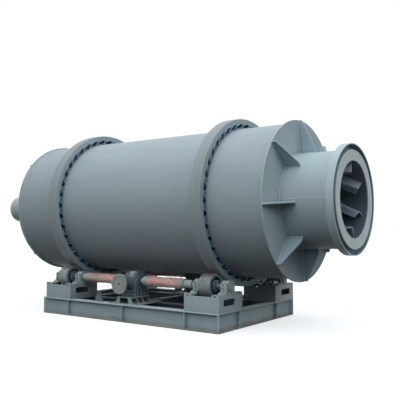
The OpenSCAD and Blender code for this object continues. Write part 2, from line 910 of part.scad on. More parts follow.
// Annular plate that closes the neck round the inner drum
module mouth_plate() {
    color(paint) on_axis() tube_x(mouth_x - mouth_t, mouth_t, neck_r - neck_t, inner_r);
}

module inner_drum() {
    x0 = tail_x + inner_back;
    color(paint_dark) on_axis() difference() {
        bar_x(x0, mouth_x - mouth_t - x0, inner_r + inner_t);
        bar_x(x0 + inner_t, mouth_x - x0, inner_r);
    }
}

// Point in the round bend of a vane, at radius r from the bend's centre and turned by a
function in_bend(r, a) =
    [inner_r - vane_h + bend_mid - r * sin(a), r * cos(a) - bend_mid];

// Section of a guide vane: a radial web, a round bend and a lip, its root on the +X side
module vane_section() {
    root = inner_r - vane_gap;
    half = vane_t / 2;
    lip = (vane_lip - bend_mid) * [-cos(vane_bend), -sin(vane_bend)];
    outer = [for (k = [0:5]) in_bend(bend_mid + half, vane_bend * k / 5)];
    inner = [for (k = [5:-1:0]) in_bend(bend_mid - half, vane_bend * k / 5)];
    polygon(concat([[root, half]], outer, [outer[5] + lip, inner[0] + lip], inner,
                   [[root, -half]]));
}

// Wedge that cuts the front of a vane's lip back, beyond the web
module vane_trim() {
    width = vane_lip + 2 * vane_t;
    translate([inner_r - vane_h - vane_lip / 2, 0, 0]) rotate([90, 0, 90])
        linear_extrude(height = vane_h + vane_lip)
            polygon([[-vane_t, vane_len], [-width, vane_len - vane_cut * width / vane_lip],
                     [-width, vane_len + vane_t], [-vane_t, vane_len + vane_t]]);
}

// One vane, its front at the angle a
module vane(a) {
    difference() {
        rotate([0, 0, a + vane_turn])
            linear_extrude(height = vane_len, twist = vane_turn, slices = 8, segments = 1)
                vane_section();
        rotate([0, 0, a]) vane_trim();
    }
}

module guide_vanes() {
    color(paint_dark) on_axis() along_x(mouth_x - mouth_t - vane_inset - vane_len)
        for (k = [0:vane_count - 1]) vane(vane_phase + k * 360 / vane_count);
}

module end_plate_tail() {
    color(paint) on_axis() bar_x(tail_x - end_plate_t, end_plate_t, plate_r[0]);
}

module ribs_tail() {
    color(paint) on_axis() translate([tail_neck_x, 0, 0]) mirror([1, 0, 0])
        ribs(plate_r[0] - 5);
}

// Short neck with its closing plate
module neck_tail() {
    color(paint) on_axis() {
        tube_x(tail_end_x, tail_neck_len, neck_r, neck_r - neck_t);
        tube_x(tail_end_x, neck_t, neck_r - neck_t + eps, tail_pipe_r);
    }
}

module tail_pipe() {
    color(pale) on_axis() {
        tube_x(tail_end_x - tail_pipe_len, tail_pipe_len + neck_t, tail_pipe_r,
               tail_pipe_r - tail_pipe_t);
    }
}

// Lugs that hang under the shell, outside the riding rings
module drum_lugs() {
    color(paint) on_axis() for (i = [0, 1])
        translate([tyre_x[i] + side[i] * drum_lug_off, lug_t / 2, -drum_r])
            rotate([90, 0, 0]) mirror([0, 1, 0]) linear_extrude(height = lug_t)
                lug_outline(drum_lug_w, drum_lug_h);
}

// ---------- rollers and line shafts ----------

// One support roller: rim, web and hub
module roller() {
    w = roller_w / 2;
    web = roller_web_t / 2;
    rim = roller_r - roller_rim_t;
    turned_x([[axle_r, -w], [roller_hub_r, -w], [roller_hub_r, -web], [rim, -web],
              [rim, -w], [roller_r, -w], [roller_r, w], [rim, w], [rim, web],
              [roller_hub_r, web], [roller_hub_r, w], [axle_r, w]]);
}

// Children on one drive line, with its axis on the local X axis
module on_line(s) {
    translate([0, s * roller_y, roller_z]) children();
}

module rollers(s) {
    on_line(s) for (x = roller_x) translate([x, 0, 0]) roller();
}

// The two roller axles and the shaft through the gearbox
module line_shaft(s) {
    out = bearing_end - axle_inset;
    on_line(s) {
        bar_x(tyre_x[0] - out, wrap_left - tyre_x[0] + out, axle_r);
        bar_x(-tube_start, 2 * tube_start, shaft_r);
        bar_x(wrap_right, tyre_x[1] + out - wrap_right, axle_r);
    }
}

// Coupling cone beside the gearbox, on the side m of it
module gear_cone(m) {
    mirror([m, 0, 0]) translate([hub_out + coupling_play, 0, 0])
        turned_x([[shaft_r, 0], [cone_r, 0], [cone_r, cone_straight],
                  [tube_r, cone_len - disc_t], [disc_r, cone_len - disc_t],
                  [disc_r, cone_len], [shaft_r, cone_len]]);
}

// Coupling at the closed end: a disc against the tube and a plain cone
module left_coupling() {
    translate([wrap_left, 0, 0]) mirror([1, 0, 0])
        turned_x([[axle_r, 0], [disc_r, 0], [disc_r, disc_t], [tube_r, disc_t],
                  [waist_r, coupling_left], [axle_r, coupling_left]]);
}

// Coupling at the mouth end: two discs with a waist between them, then a cone
module right_coupling() {
    second = disc_t * 2.5;
    translate([wrap_right, 0, 0])
        turned_x([[axle_r, 0], [disc_r, 0], [disc_r, disc_t], [waist_r, disc_t],
                  [waist_r, second], [disc_r, second],
                  [disc_r, second + disc_t], [waist_r, second + disc_t],
                  [waist_r, coupling_right], [axle_r, coupling_right]]);
}

module couplings(s) {
    on_line(s) {
        gear_cone(0);
        gear_cone(1);
        left_coupling();
        right_coupling();
    }
}

// Wrapped drive tubes between the couplings
module shaft_wraps(s) {
    on_line(s) {
        tube_x(wrap_left, -tube_start - wrap_left, tube_r + wrap_t, tube_r - tube_wall);
        tube_x(tube_start, wrap_right - tube_start, tube_r + wrap_t, tube_r - tube_wall);
    }
}

module rollers_front() {
    color(bare) rollers(-1);
}

module rollers_rear() {
    color(bare) rollers(1);
}

module line_shaft_front() {
    color(bare) line_shaft(-1);
}

module line_shaft_rear() {
    color(bare) line_shaft(1);
}

module couplings_front() {
    color(pale) couplings(-1);
}

module couplings_rear() {
    color(pale) couplings(1);
}

module shaft_wraps_front() {
    color(wrap_pink) shaft_wraps(-1);
}

module shaft_wraps_rear() {
    color(wrap_pink) shaft_wraps(1);
}

beam_front();
beam_rear();
beam_left();
beam_right();
inner_beams();
cross_beams();
base_lugs();
pedestal_front_left();
pedestal_front_right();
pedestal_rear_left();
pedestal_rear_right();
bearing_bases();
bearing_caps();
gearbox_stands();
gearbox_front();
gearbox_rear();
motor_flange_front();
motor_flange_rear();
drum_shell();
tyre_left();
tyre_right();
tyre_spacers_left();
tyre_spacers_right();
end_plate_mouth();
ribs_mouth();
neck_mouth();
seal_band();
mouth_plate();
inner_drum();
guide_vanes();
end_plate_tail();
ribs_tail();
neck_tail();
tail_pipe();
drum_lugs();
rollers_front();
line_shaft_front();
couplings_front();
shaft_wraps_front();
rollers_rear();
line_shaft_rear();
couplings_rear();
shaft_wraps_rear();
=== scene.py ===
# Looks of a rotary sand dryer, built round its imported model.
# Laid out as an add-on with one operator for each group of pieces, and run as a script.

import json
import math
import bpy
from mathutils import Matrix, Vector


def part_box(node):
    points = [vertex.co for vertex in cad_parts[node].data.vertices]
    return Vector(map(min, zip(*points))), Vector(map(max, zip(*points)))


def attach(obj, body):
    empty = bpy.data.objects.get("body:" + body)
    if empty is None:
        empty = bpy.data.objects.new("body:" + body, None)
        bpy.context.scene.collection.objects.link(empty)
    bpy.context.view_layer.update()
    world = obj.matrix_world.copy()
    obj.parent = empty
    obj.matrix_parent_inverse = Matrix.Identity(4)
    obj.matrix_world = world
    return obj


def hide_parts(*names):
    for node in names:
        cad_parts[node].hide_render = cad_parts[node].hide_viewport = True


bl_info = {
    "name": "Rotary sand dryer",
    "version": (1, 0, 0),
    "blender": (4, 5, 0),
    "location": "3D View > Sidebar > Dryer",
    "description": "Finishes, fasteners, welds and wrapping of a rotary sand dryer, and its stage",
    "category": "Object",
}

import bmesh
import bpy
from mathutils import Matrix, Vector

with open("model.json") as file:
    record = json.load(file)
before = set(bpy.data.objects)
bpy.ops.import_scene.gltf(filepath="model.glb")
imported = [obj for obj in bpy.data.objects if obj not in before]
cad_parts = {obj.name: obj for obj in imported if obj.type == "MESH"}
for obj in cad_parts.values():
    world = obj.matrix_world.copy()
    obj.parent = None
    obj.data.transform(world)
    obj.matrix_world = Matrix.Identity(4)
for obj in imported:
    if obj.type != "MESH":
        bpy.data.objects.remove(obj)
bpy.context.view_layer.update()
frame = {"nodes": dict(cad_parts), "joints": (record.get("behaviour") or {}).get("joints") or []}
SIDES = (-1, 1)
QUARTER = math.pi / 2
UP = (0, 0, 1)
WHITE = (1, 1, 1, 1)


# ---------- places taken from the frame ----------

def low(node):
    """Lowest corner of a CAD node."""
    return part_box(node)[0]


def high(node):
    """Highest corner of a CAD node."""
    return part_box(node)[1]


def middle_x(node):
    """Middle of a CAD node along the drum."""
    return (low(node).x + high(node).x) / 2


def radius_of(node):
    """Radius of a CAD node that is round about an axis along X."""
    return (high(node).z - low(node).z) / 2


JOINTS = {joint["name"]: Vector(joint["pos_m"]) for joint in frame["joints"]}
AXIS_Z = JOINTS["drum_spin"].z
LINE_Y = JOINTS["rear_line_spin"].y
LINE_Z = JOINTS["rear_line_spin"].z
RING_X = (middle_x("tyre_left"), middle_x("tyre_right"))
RING_R = radius_of("tyre_left")
RING_HALF = (high("tyre_left").x - low("tyre_left").x) / 2
RING_BORE = radius_of("tyre_spacers_left")
SHELL_R = radius_of("drum_shell")
NECK_R = radius_of("neck_mouth")
ROLLER_R = radius_of("rollers_front")
TUBE_X = (low("shaft_wraps_front").x, high("shaft_wraps_front").x)
FLANGE_DROP = LINE_Z - (high("motor_flange_front").z + low("motor_flange_front").z) / 2
BEAM_TOP = high("beam_front").z
SEAT_Z = low("bearing_bases").z

# places on the model's pieces that no box gives, in metres
WRAP_START = 0.227  # from the gearbox's middle to a drive tube
BEAM_FLANGE = 0.017  # thickness of a base beam's flange
SKIN = 0.0002  # depth in which a mask on a flat face starts and ends
TREAD_SKIN = 0.008  # depth to which a riding ring has its tread's coat
BORE_SKIN = 0.002  # depth to which the painted shade reaches in a riding ring's bore
ROLLER_SKIN = 0.004  # the same on a roller's tread
SHADE_OUT = 0.01  # how far the shade under a ring runs past its sides
SHADE_IN = 0.02  # how far in from them it is full
COVER_JOINTS = ((0.0535, 0.0575), (0.0755, 0.0805))  # rings on a bearing's cover
MOTOR_BORE = 0.0142  # radius of an input flange's bore
SPIGOT_FOOT = (0.1095, 0.1155)  # ring at the foot of an input flange's recess
WEDGE_OUT = (0.050, 0.181)  # a gearbox's wedge, from the drive line outwards
WEDGE_LEFT = (-0.034, 0.03)  # its left edge at those two places
WEDGE_RIGHT = 0.0568  # its right edge
WEDGE_FOOT = 0.061  # its height above the drive line
SPLASH = 0.08  # height that splashed mud reaches

# form of the added pieces
BEAD_ROUND = 0.62  # radius of a weld bead, as a share of its leg
RING_RIPPLE = 0.14  # depth of the ripples in a round bead, as a share of its leg
BAR_RIPPLE = 0.12  # the same in a straight one
BAR_STEP = 0.02  # spacing of the rings that a straight bead is cut into
BEAD_SMOOTH = 60  # smoothing angle of weld beads, in degrees
SLEEVE_SMOOTH = 80  # smoothing angle of the creased sleeves, in degrees
SLEEVE_T = 0.002  # thickness of the paper and film
SLEEVE_STEP = 0.012  # spacing of the rings that a sleeve is cut into
FILM_LAP = 0.012  # how far the film on a cone laps the paper
FILM_GRIP = 0.02  # how far the film at the end laps the paper
FILM_NECK = 0.003  # how much narrower it is drawn in there
RIBS = 8  # gusset ribs on each end plate
FIRST_RIB = math.radians(94)  # turn of the first one about the drum's axis
RIB_EDGE = 0.005  # from the ribs' tips to the edge of the plate
NECK_SEAM_TURN = math.radians(90.1)  # turn of the neck's long seam

# where the camera stands, and what it shows
CAMERA_PLACE = (6.0307, -7.5494, 1.4001)
CAMERA_LOOK = (-0.57877, 0.81409, 0.04782)
CAMERA_LENS = 52.52
CAMERA_SENSOR = 36.0


def srgb(code):
    """Linear colour with full alpha from an sRGB hex code."""
    parts = [int(code[i:i + 2], 16) / 255 for i in (1, 3, 5)]
    return [p / 12.92 if p <= 0.04045 else ((p + 0.055) / 1.055) ** 2.4 for p in parts] + [1.0]


# ---------- settings ----------

def colour(name, description, code):
    """Colour property with its default from a hex code."""
    return bpy.props.FloatVectorProperty(
        name=name, description=description, subtype="COLOR", size=4, min=0, max=1,
        default=srgb(code))


def length(name, description, default):
    """Length property in metres."""
    return bpy.props.FloatProperty(
        name=name, description=description, default=default, min=0, unit="LENGTH")


class DryerColours(bpy.types.PropertyGroup):
    """Colours of the dryer's finishes"""
    shell: colour("Shell enamel", "Blue-grey enamel of the drum shell", "#a3afb6")
    ends: colour("End enamel", "Enamel of the end plates and necks", "#a9bac0")
    green: colour("Green cast", "Patches of the shell's enamel with a greenish cast", "#9fb1b5")
    violet: colour("Violet cast", "Patches of the shell's enamel with a violet cast", "#a8adb9")
    rib: colour("Rib enamel", "Enamel of the gusset ribs", "#9bafb9")
    mouth: colour("Mouth enamel", "Paler enamel of the plate round the mouth", "#cbd8da")
    ring: colour("Ring enamel", "Enamel on the sides of the riding rings", "#98a9b1")
    tread: colour("Ring tread", "Thin greyish coat on the treads of the rings", "#959fa3")
    # painted shade: bluish shade under the rings, in their bores, between the spacers and in the
    # seal band, where it also colours streaked dirt
    gap: colour("Gap shade", "Bluish dirt between the spacers", "#3c5472")
    spacer: colour("Spacer enamel", "Enamel of the bent spacers under the rings", "#8298a8")
    base: colour("Base enamel", "Enamel of the base beams", "#9dafb7")
    # painted highlight on the top flanges' edges
    flange: colour("Flange edges", "Bright rolled edges of the beams' top flanges", "#d3dad6")
    # painted shade: the base enamel darkened for the beams under the drum
    shaded_deck: colour("Deck enamel", "Darker enamel of the beams inside the base", "#4b5966")
    lug: colour("Lug primer", "Pale primer on the drum's lifting lugs", "#eef2ea")
    pedestal: colour("Pedestal enamel", "Enamel of the pedestals", "#a5b5bc")
    # paler coat standing in for light on the rear pedestals' open faces
    rear: colour("Rear pedestals", "Paler, drier coat of the rear pedestals", "#e6edee")
    casting: colour("Bearing enamel", "Enamel of the cast bearing housings", "#a9b6b6")
    gearbox: colour("Gearbox enamel", "Dark enamel of the cast gearboxes", "#586570")
    primer: colour("Primer", "Pale grey-green primer of the couplings and input flanges", "#a9b2ae")
    pipe: colour("Pipe primer", "Pale primer of the pipe at the closed end", "#b4bdbe")
    inside: colour("Inner drum", "Dark mill scale inside the inner drum", "#52606f")
    vane: colour("Vanes", "Enamel of the guide vanes", "#94a2ae")
    steel: colour("Bare steel", "Turned steel of the rollers and line shafts", "#7b7f88")
    roller: colour("Roller tread", "Greyish-green overspray on the rollers' treads", "#95a1a0")
    face: colour("Roller faces", "Blue-grey enamel on the rollers' faces", "#708192")
    rust: colour("Rust", "Thin flash rust on bare steel", "#6e5a4f")
    wrap: colour("Wrapping", "Pink paper under the film on the drive tubes", "#d8a19c")
    film_end: colour("Film ends", "Greyish film without paper at the ends", "#a6aaa6")
    film: colour("Film", "Yellowed stretch film over the paper", "#b8a490")
    zinc: colour("Zinc", "Bright zinc of the bolts and nuts", "#a3a9aa")
    # colour of run-down dirt, and of painted shade in corners and hollows
    dirt_and_shade: colour("Shade", "Dirt that gathers in corners and on low faces", "#33383b")
    dust: colour("Dust", "Brown dust on the lowest faces of the base", "#8d8678")


class DryerSizes(bpy.types.PropertyGroup):
    """Sizes of the pieces that are added to the model"""
    bearing_off: length("Bearing offset", "From a roller's middle to its bearings", 0.232)
    bearing_w: length("Bearing width", "Width of a bearing housing along its axle", 0.096)
    bearing_r: length("Bearing radius", "Radius of a bearing housing's round body", 0.100)
    boss_h: length("Boss height", "Height of a cap bolt's boss above the split", 0.044)
    rim_t: length("Cover rim", "Depth of a bearing cover's flat rim", 0.014)
    screw_r: length("Cover screw circle", "Radius of the circle of cover screws", 0.067)
    boss_r: length("Boss radius", "Radius of a cap bolt's boss", 0.018)
    foot_bolt_y: length("Foot bolt offset", "From the axle to a foot bolt", 0.138)
    foot_h: length("Foot height", "Height of a bearing's foot", 0.030)
    foot_bolt: length("Foot bolt", "Thread diameter of a foot bolt", 0.024)
    cap_bolt: length("Cap bolt", "Thread of the cap, beam and gearbox foot bolts", 0.016)
    small_bolt: length("Cover screw", "Thread of the screws in covers and lids", 0.010)
    foot_stud: length("Foot stud", "How far a stud stands out of a bearing's foot nut", 0.016)
    gear_stud: length("Gearbox stud", "How far a stud stands out of a gearbox's foot nut", 0.010)
    gear_bolt: length("Gearbox cover bolt", "Thread diameter of a side cover's bolt", 0.014)
    gear_face: length("Side cover", "From a gearbox's middle to its side covers", 0.129)
    gear_ring: length("Cover bolt circle", "Radius of a side cover's bolt circle", 0.094)
    gear_left: length("Left feet", "From a gearbox's middle to its left foot bolts", 0.100)
    gear_right: length("Right feet", "From a gearbox's middle to its right foot bolts", 0.120)
    gear_out: length("Foot bolts", "From a gearbox's middle out to its foot bolts", 0.137)
    gear_foot: length("Foot depth", "From the drive line down to a gearbox's feet", 0.202)
    lid_half: length("Lid screws", "Half the spacing of an inspection cover's screws", 0.053)
    lid_in: length("Lid offset", "From the drive line in to an inspection cover", 0.013)
    lid_top: length("Lid height", "From the drive line up to an inspection cover", 0.142)
    weld: length("Weld", "Leg of a fillet weld", 0.010)
    beam_w: length("Beam width", "Width of the base beams", 0.120)
    plate_t: length("Stiffener", "Thickness of a beam's stiffener plate", 0.012)
    seam: length("Seam", "Width of a ground butt weld", 0.006)
    seam_x: length("Neck seam", "Place of the round seam of the neck", 3.056)
    neck_wall: length("Neck wall", "Thickness of the neck's plate", 0.014)
    rib_t: length("Rib thickness", "Thickness of a gusset rib", 0.014)
    rib_len: length("Rib length", "Length of a gusset rib along the neck", 0.232)
    crumple: length("Crumple", "Depth of the creases in the wrapping", 0.012)
    film_from: length("Film start", "From the gearbox's middle to the film on its cone", 0.182)
    film_r: length("Film start radius", "Radius of the film where it starts on the cone", 0.052)
    film_out: length("Film end", "How far the film runs over the coupling at the mouth end", 0.048)


# ---------- modelling helpers ----------

def clear():
    """Leaves edit mode and deselects everything."""
    if bpy.context.object and bpy.context.object.mode != "OBJECT":
        bpy.ops.object.mode_set(mode="OBJECT")
    bpy.ops.object.select_all(action="DESELECT")


def choose(piece):
    """Selects one piece alone and makes it the active one."""
    clear()
    piece.select_set(True)
    bpy.context.view_layer.objects.active = piece


def begin(name):
    """Names the primitive just added and opens it for editing."""
    piece = bpy.context.object
    piece.name = name
    piece.data.name = name
    bpy.ops.object.mode_set(mode="EDIT")
    bpy.ops.mesh.select_all(action="DESELECT")
    return piece


def pick(piece, kind, test):
    """Selects the faces or edges of the edited piece whose middle and normal pass a test."""
    mesh = bmesh.from_edit_mesh(piece.data)
    bpy.ops.mesh.select_mode(type=kind)
    bpy.ops.mesh.select_all(action="DESELECT")
    if kind == "FACE":
        for face in mesh.faces:
            face.select_set(test(face.calc_center_median(), face.normal))
    else:
        for edge in mesh.edges:
            a, b = edge.verts
            edge.select_set(test((a.co + b.co) / 2, (b.co - a.co)))
    bmesh.update_edit_mesh(piece.data)


def end():
    """Closes the edited piece with its faces pointing outwards."""
    bpy.ops.mesh.select_all(action="SELECT")
    bpy.ops.mesh.normals_make_consistent(inside=False)
    bpy.ops.object.mode_set(mode="OBJECT")


def apply_modifier(piece, kind, **settings):
    """Adds a modifier to a piece and applies it."""
    modifier = piece.modifiers.new(kind.title(), kind)
    for key, value in settings.items():
        setattr(modifier, key, value)
    bpy.context.view_layer.objects.active = piece
    bpy.ops.object.modifier_apply(modifier=modifier.name)


def settle(piece):
    """Moves a piece's place into its mesh."""
    choose(piece)
    bpy.ops.object.transform_apply(location=True, rotation=True, scale=True)


def spread(master, places, name):
    """Copies a master to every place, joins the copies and removes the master."""
    settle(master)
    copies = []
    for place in places:
        copy = master.copy()
        copy.data = master.data.copy()
        bpy.context.collection.objects.link(copy)
        copy.data.transform(place)
        copies.append(copy)
    clear()
    for copy in copies:
        copy.select_set(True)
    bpy.context.view_layer.objects.active = copies[0]
    bpy.ops.object.join()
    joined = bpy.context.object
    joined.name = name
    joined.data.name = name
    bpy.data.objects.remove(master)
    return joined


def finish(piece, made, body, smooth_angle=35):
    """Shades a piece, gives it its material and lets it ride on a body."""
    choose(piece)
    bpy.ops.object.shade_smooth_by_angle(angle=math.radians(smooth_angle))
    piece.data.materials.clear()
    piece.data.materials.append(made)
    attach(piece, body)


def frame_at(place, along):
    """Matrix that puts local +Z along a direction at a place."""
    turn = Vector(along).to_track_quat("Z", "Y").to_matrix().to_4x4()
    return Matrix.Translation(place) @ turn


def around(centre, radius, count, along, phase=0.0):
    """Places on a circle about an axis, each with local +Z along that axis."""
    turn = Vector(along).to_track_quat("Z", "Y").to_matrix()
    places = []
    for i in range(count):
        angle = phase + i * math.tau / count
        offset = turn @ Vector((radius * math.cos(angle), radius * math.sin(angle), 0))
        places.append(frame_at(Vector(centre) + offset, along))
    return places


def hex_bolt(thread, washer=True, stud=0.0):
    """Hexagon head or nut on its washer, standing on the plane z = 0."""
    clear()
    # a head or nut in shares of its thread
    across = thread * 0.92
    thick = thread * 0.16 if washer else 0.0
    head = thread * 0.7
    bpy.ops.mesh.primitive_cylinder_add(
        vertices=6, radius=across, depth=head, location=(0, 0, thick + head / 2))
    bolt = begin("hex_bolt")
    top = head / 2 - thread * 0.02
    pick(bolt, "FACE", lambda c, n: c.z > top and n.z > 0.9)
    bpy.ops.mesh.inset(thickness=thread * 0.12, depth=thread * 0.05)
    if stud:
        bpy.ops.mesh.inset(thickness=across * 0.28, depth=0)
        bpy.ops.mesh.extrude_region_move(TRANSFORM_OT_translate={"value": (0, 0, stud)})
        bpy.ops.mesh.inset(thickness=thread * 0.06, depth=thread * 0.05)
    if washer:
        bpy.ops.mesh.primitive_cylinder_add(
            vertices=20, radius=thread * 1.15, depth=thick,
            location=(0, 0, thick / 2 - bolt.location.z))
    end()
    settle(bolt)
    return bolt


def bead_ring(name, x, radius, leg, side):
    """Fillet weld bead that runs round the drum's axis, with the ripples of its runs."""
    clear()
    bpy.ops.mesh.primitive_torus_add(
        major_segments=180, minor_segments=6, major_radius=radius,
        minor_radius=leg * BEAD_ROUND, location=(x, 0, AXIS_Z), rotation=(0, QUARTER, 0))
    ring = begin(name)
    bpy.ops.mesh.select_all(action="SELECT")
    bpy.ops.transform.vertex_random(offset=leg * RING_RIPPLE, seed=int(radius * 1000) + side)
    end()
    settle(ring)
    return ring


def bead_bar(name, leg, run):
    """Straight weld bead from the origin along local +X, with the ripples of its run."""
    clear()
    bpy.ops.mesh.primitive_cylinder_add(
        vertices=6, radius=leg * BEAD_ROUND, depth=run, location=(run / 2, 0, 0),
        rotation=(0, QUARTER, 0))
    bar = begin(name)
    pick(bar, "EDGE", lambda c, d: abs(d.z) > run * 0.9)
    bpy.ops.mesh.subdivide(number_cuts=max(2, int(run / BAR_STEP)))
    bpy.ops.mesh.select_all(action="SELECT")
    bpy.ops.transform.vertex_random(offset=leg * BAR_RIPPLE, seed=int(run * 1000))
    end()
    settle(bar)
    return bar


# ---------- materials ----------

def add(tree, kind, sockets=None, **settings):
    """Adds a shader node with its settings; an input takes a value, an output or a node."""
    node = tree.nodes.new("ShaderNode" + kind)
    for key, value in settings.items():
        setattr(node, key, value)
    for key, value in (sockets or {}).items():
        if isinstance(value, bpy.types.Node):
            value = value.outputs[0]
        if isinstance(value, bpy.types.NodeSocket):
            tree.links.new(value, node.inputs[key])
        else:
            node.inputs[key].default_value = value
    return node


def material(name):
    """Empty node material and its tree."""
    made = bpy.data.materials.new(name)
    made.use_nodes = True
    made.node_tree.nodes.clear()
    return made, made.node_tree


def shade(code, factor):
    """Colour scaled in value, kept below white."""
    return [min(1.0, c * factor) for c in list(code)[:3]] + [1.0]


def painted_edge_highlight_mask(tree, radius):
    """1 on edges, where the enamel gets a painted highlight, 0 on flat faces."""
    bevel = add(tree, "Bevel", {"Radius": radius}, samples=4)
    geometry = add(tree, "NewGeometry")
    dot = add(tree, "VectorMath", {0: bevel, 1: geometry.outputs["Normal"]},
              operation="DOT_PRODUCT")
    return add(tree, "MapRange", {
        "Value": dot.outputs["Value"], "From Min": 0.995, "From Max": 0.93})


def axis_distance(tree, y, z):
    """Distance of a point from a line along X."""
    place = add(tree, "TexCoord").outputs["Object"]
    moved = add(tree, "Mapping", {"Vector": place, "Location": (0, -y, -z), "Scale": (0, 1, 1)})
    return add(tree, "VectorMath", {0: moved}, operation="LENGTH").outputs["Value"]


def object_place(tree, scale=(1, 1, 1)):
    """Object coordinates in metres, stretched by a scale."""
    place = add(tree, "TexCoord").outputs["Object"]
    return add(tree, "Mapping", {"Vector": place, "Scale": scale})


def coordinate(tree, axis):
    """Object coordinate along one axis, in metres."""
    return add(tree, "SeparateXYZ", {0: object_place(tree)}).outputs[axis]


def level_mask(tree, start, full):
    """0 at the height start, growing to 1 at the height full."""
    return add(tree, "MapRange", {
        "Value": coordinate(tree, "Z"), "From Min": start, "From Max": full})


def noise_mask(tree, scale, start, full, strength=1.0, detail=4.0):
    """Cloudy mask that grows from 0 to a strength between two values of its noise."""
    noise = add(tree, "TexNoise", {
        "Vector": object_place(tree, scale), "Scale": 1.0, "Detail": detail, "Roughness": 0.58})
    return add(tree, "MapRange", {
        "Value": noise, "From Min": start, "From Max": full, "To Max": strength})


def painted_shade_mask(tree, reach, strength):
    """Grows in corners and hollows, where the enamel gets painted shade."""
    hidden = add(tree, "AmbientOcclusion", {"Distance": reach}, samples=8)
    return add(tree, "MapRange", {
        "Value": hidden.outputs["AO"], "From Min": 0.85, "From Max": 0.35, "To Max": strength})


def coated(tree, tint, *coats):
    """Colour under a row of coats, each a mask and the colour that shows where it is 1."""
    for mask, upper in coats:
        tint = add(tree, "MixRGB", {"Fac": mask, "Color1": tint, "Color2": upper})
    return tint


def enamel(name, tone, dirt_and_shade, cloud=(0.9, 0.9, 0.9), contrast=0.05, streak=(9, 9, 0.9), dirt=0.3,
           shade_strength=0.35, reach=0.09, rough=0.5, gloss=0.25, edge=0.004, edge_highlight_gain=1.2,
           peel=0.0006, dents=0.0015, dent_scale=1.6, layers=()):
    """Air-dried enamel on steel: even colour, faint clouds, run-down dirt, painted shade in
    corners, painted highlights on edges.
    """
    made, tree = material(name)
    # clouds of uneven spray passes
    clouds = noise_mask(tree, cloud, 0.32, 0.68)
    tint = coated(tree, shade(tone, 1 - contrast), (clouds, shade(tone, 1 + contrast)))
    tint = coated(tree, tint, *[(mask(tree), second) for mask, second in layers])
    # run-down dirt, long down the fall, then painted shade in the corners and painted highlights on
    # the edges
    tint = coated(tree, tint, (noise_mask(tree, streak, 0.52, 0.8, dirt, 5.0), dirt_and_shade),
                  (painted_shade_mask(tree, reach, shade_strength), dirt_and_shade),
                  (painted_edge_highlight_mask(tree, edge), shade(tone, edge_highlight_gain)))
    # orange peel of a few millimetres and slow dents of the rolled plate
    fine = add(tree, "TexNoise", {"Vector": object_place(tree), "Scale": 160.0, "Detail": 2.0})
    slow = add(tree, "TexNoise", {"Vector": object_place(tree), "Scale": dent_scale, "Detail": 2.0})
    peel_bump = add(tree, "Bump", {"Height": fine, "Strength": 0.35, "Distance": peel})
    dent_bump = add(tree, "Bump", {
        "Height": slow, "Strength": 0.6, "Distance": dents, "Normal": peel_bump})
    matt = noise_mask(tree, (3.1, 3.1, 3.1), 0.3, 0.8)
    roughness = add(tree, "MapRange", {
        "Value": matt, "To Min": rough - 0.05, "To Max": rough + 0.18})
    shader = add(tree, "BsdfPrincipled", {
        "Base Color": tint, "Roughness": roughness,
        "Normal": dent_bump, "Specular IOR Level": gloss})
    add(tree, "OutputMaterial", {"Surface": shader})
    return made


def turned_steel(name, steel, rust):
    """Turned steel left bare: fine tool rings and flash rust in soft patches."""
    made, tree = material(name)
    rust_mask = noise_mask(tree, (9, 9, 9), 0.62, 0.8, 0.9, 6.0)
    tool = noise_mask(tree, (420, 1.5, 1.5), 0.3, 0.7, 1.0, 2.0)
    tint = coated(tree, shade(steel, 0.85), (tool, shade(steel, 1.12)), (rust_mask, rust))
    metal = add(tree, "MapRange", {"Value": rust_mask, "To Min": 0.7, "To Max": 0.0})
    bump = add(tree, "Bump", {"Height": tool, "Strength": 0.3, "Distance": 0.0004})
    roughness = add(tree, "MapRange", {"Value": rust_mask, "To Min": 0.45, "To Max": 0.8})
    shader = add(tree, "BsdfPrincipled", {
        "Base Color": tint, "Metallic": metal, "Roughness": roughness, "Normal": bump})
    add(tree, "OutputMaterial", {"Surface": shader})
    return made


def roller_coat(name, side, tones):
    """Overspray on a roller: enamelled faces, a mottled tread with worn steel and rust."""
    made, tree = material(name)
    radius = axis_distance(tree, side * LINE_Y, LINE_Z)
    tread = add(tree, "Math", {0: radius, 1: ROLLER_R - ROLLER_SKIN}, operation="GREATER_THAN")
    # the rollers at the mouth have lost more of the overspray
    mouth = add(tree, "Math", {0: coordinate(tree, "X"), 1: 0.0}, operation="GREATER_THAN")
    worn = noise_mask(tree, (26, 26, 26), 0.36, 0.6, 1.0, 6.0)
    lost = add(tree, "Math", {0: mouth, 1: worn}, operation="MULTIPLY")
    # where rain stood on the highest part of the tread
    upper = level_mask(tree, LINE_Z + ROLLER_R * 0.55, LINE_Z + ROLLER_R * 0.9)
    wet = add(tree, "Math", {0: noise_mask(tree, (9, 30, 30), 0.3, 0.7), 1: upper},
              operation="MULTIPLY")
    top = add(tree, "MapRange", {"Value": wet, "From Min": 0.1, "From Max": 0.4, "To Max": 0.9})
    bare = coated(tree, shade(tones.steel, 0.8),
                  (noise_mask(tree, (60, 60, 60), 0.35, 0.65), shade(tones.steel, 1.15)))
    tint = coated(tree, shade(tones.roller, 0.94),
                  (noise_mask(tree, (12, 12, 12), 0.35, 0.65), shade(tones.roller, 1.05)),
                  (lost, bare), (noise_mask(tree, (7, 7, 7), 0.6, 0.75, 0.5, 5.0), tones.rust),
                  (top, tones.rust))
    # painted shade in the corners and painted highlights on the faces' edges
    tint = coated(tree, tones.face, (tread, tint), (painted_shade_mask(tree, 0.1, 0.75), tones.dirt_and_shade),
                  (painted_edge_highlight_mask(tree, 0.008), shade(tones.face, 2.6)))
    bump = add(tree, "Bump", {"Height": worn, "Strength": 0.3, "Distance": 0.0006})
    shader = add(tree, "BsdfPrincipled", {"Base Color": tint, "Roughness": 0.5, "Normal": bump})
    add(tree, "OutputMaterial", {"Surface": shader})
    return made


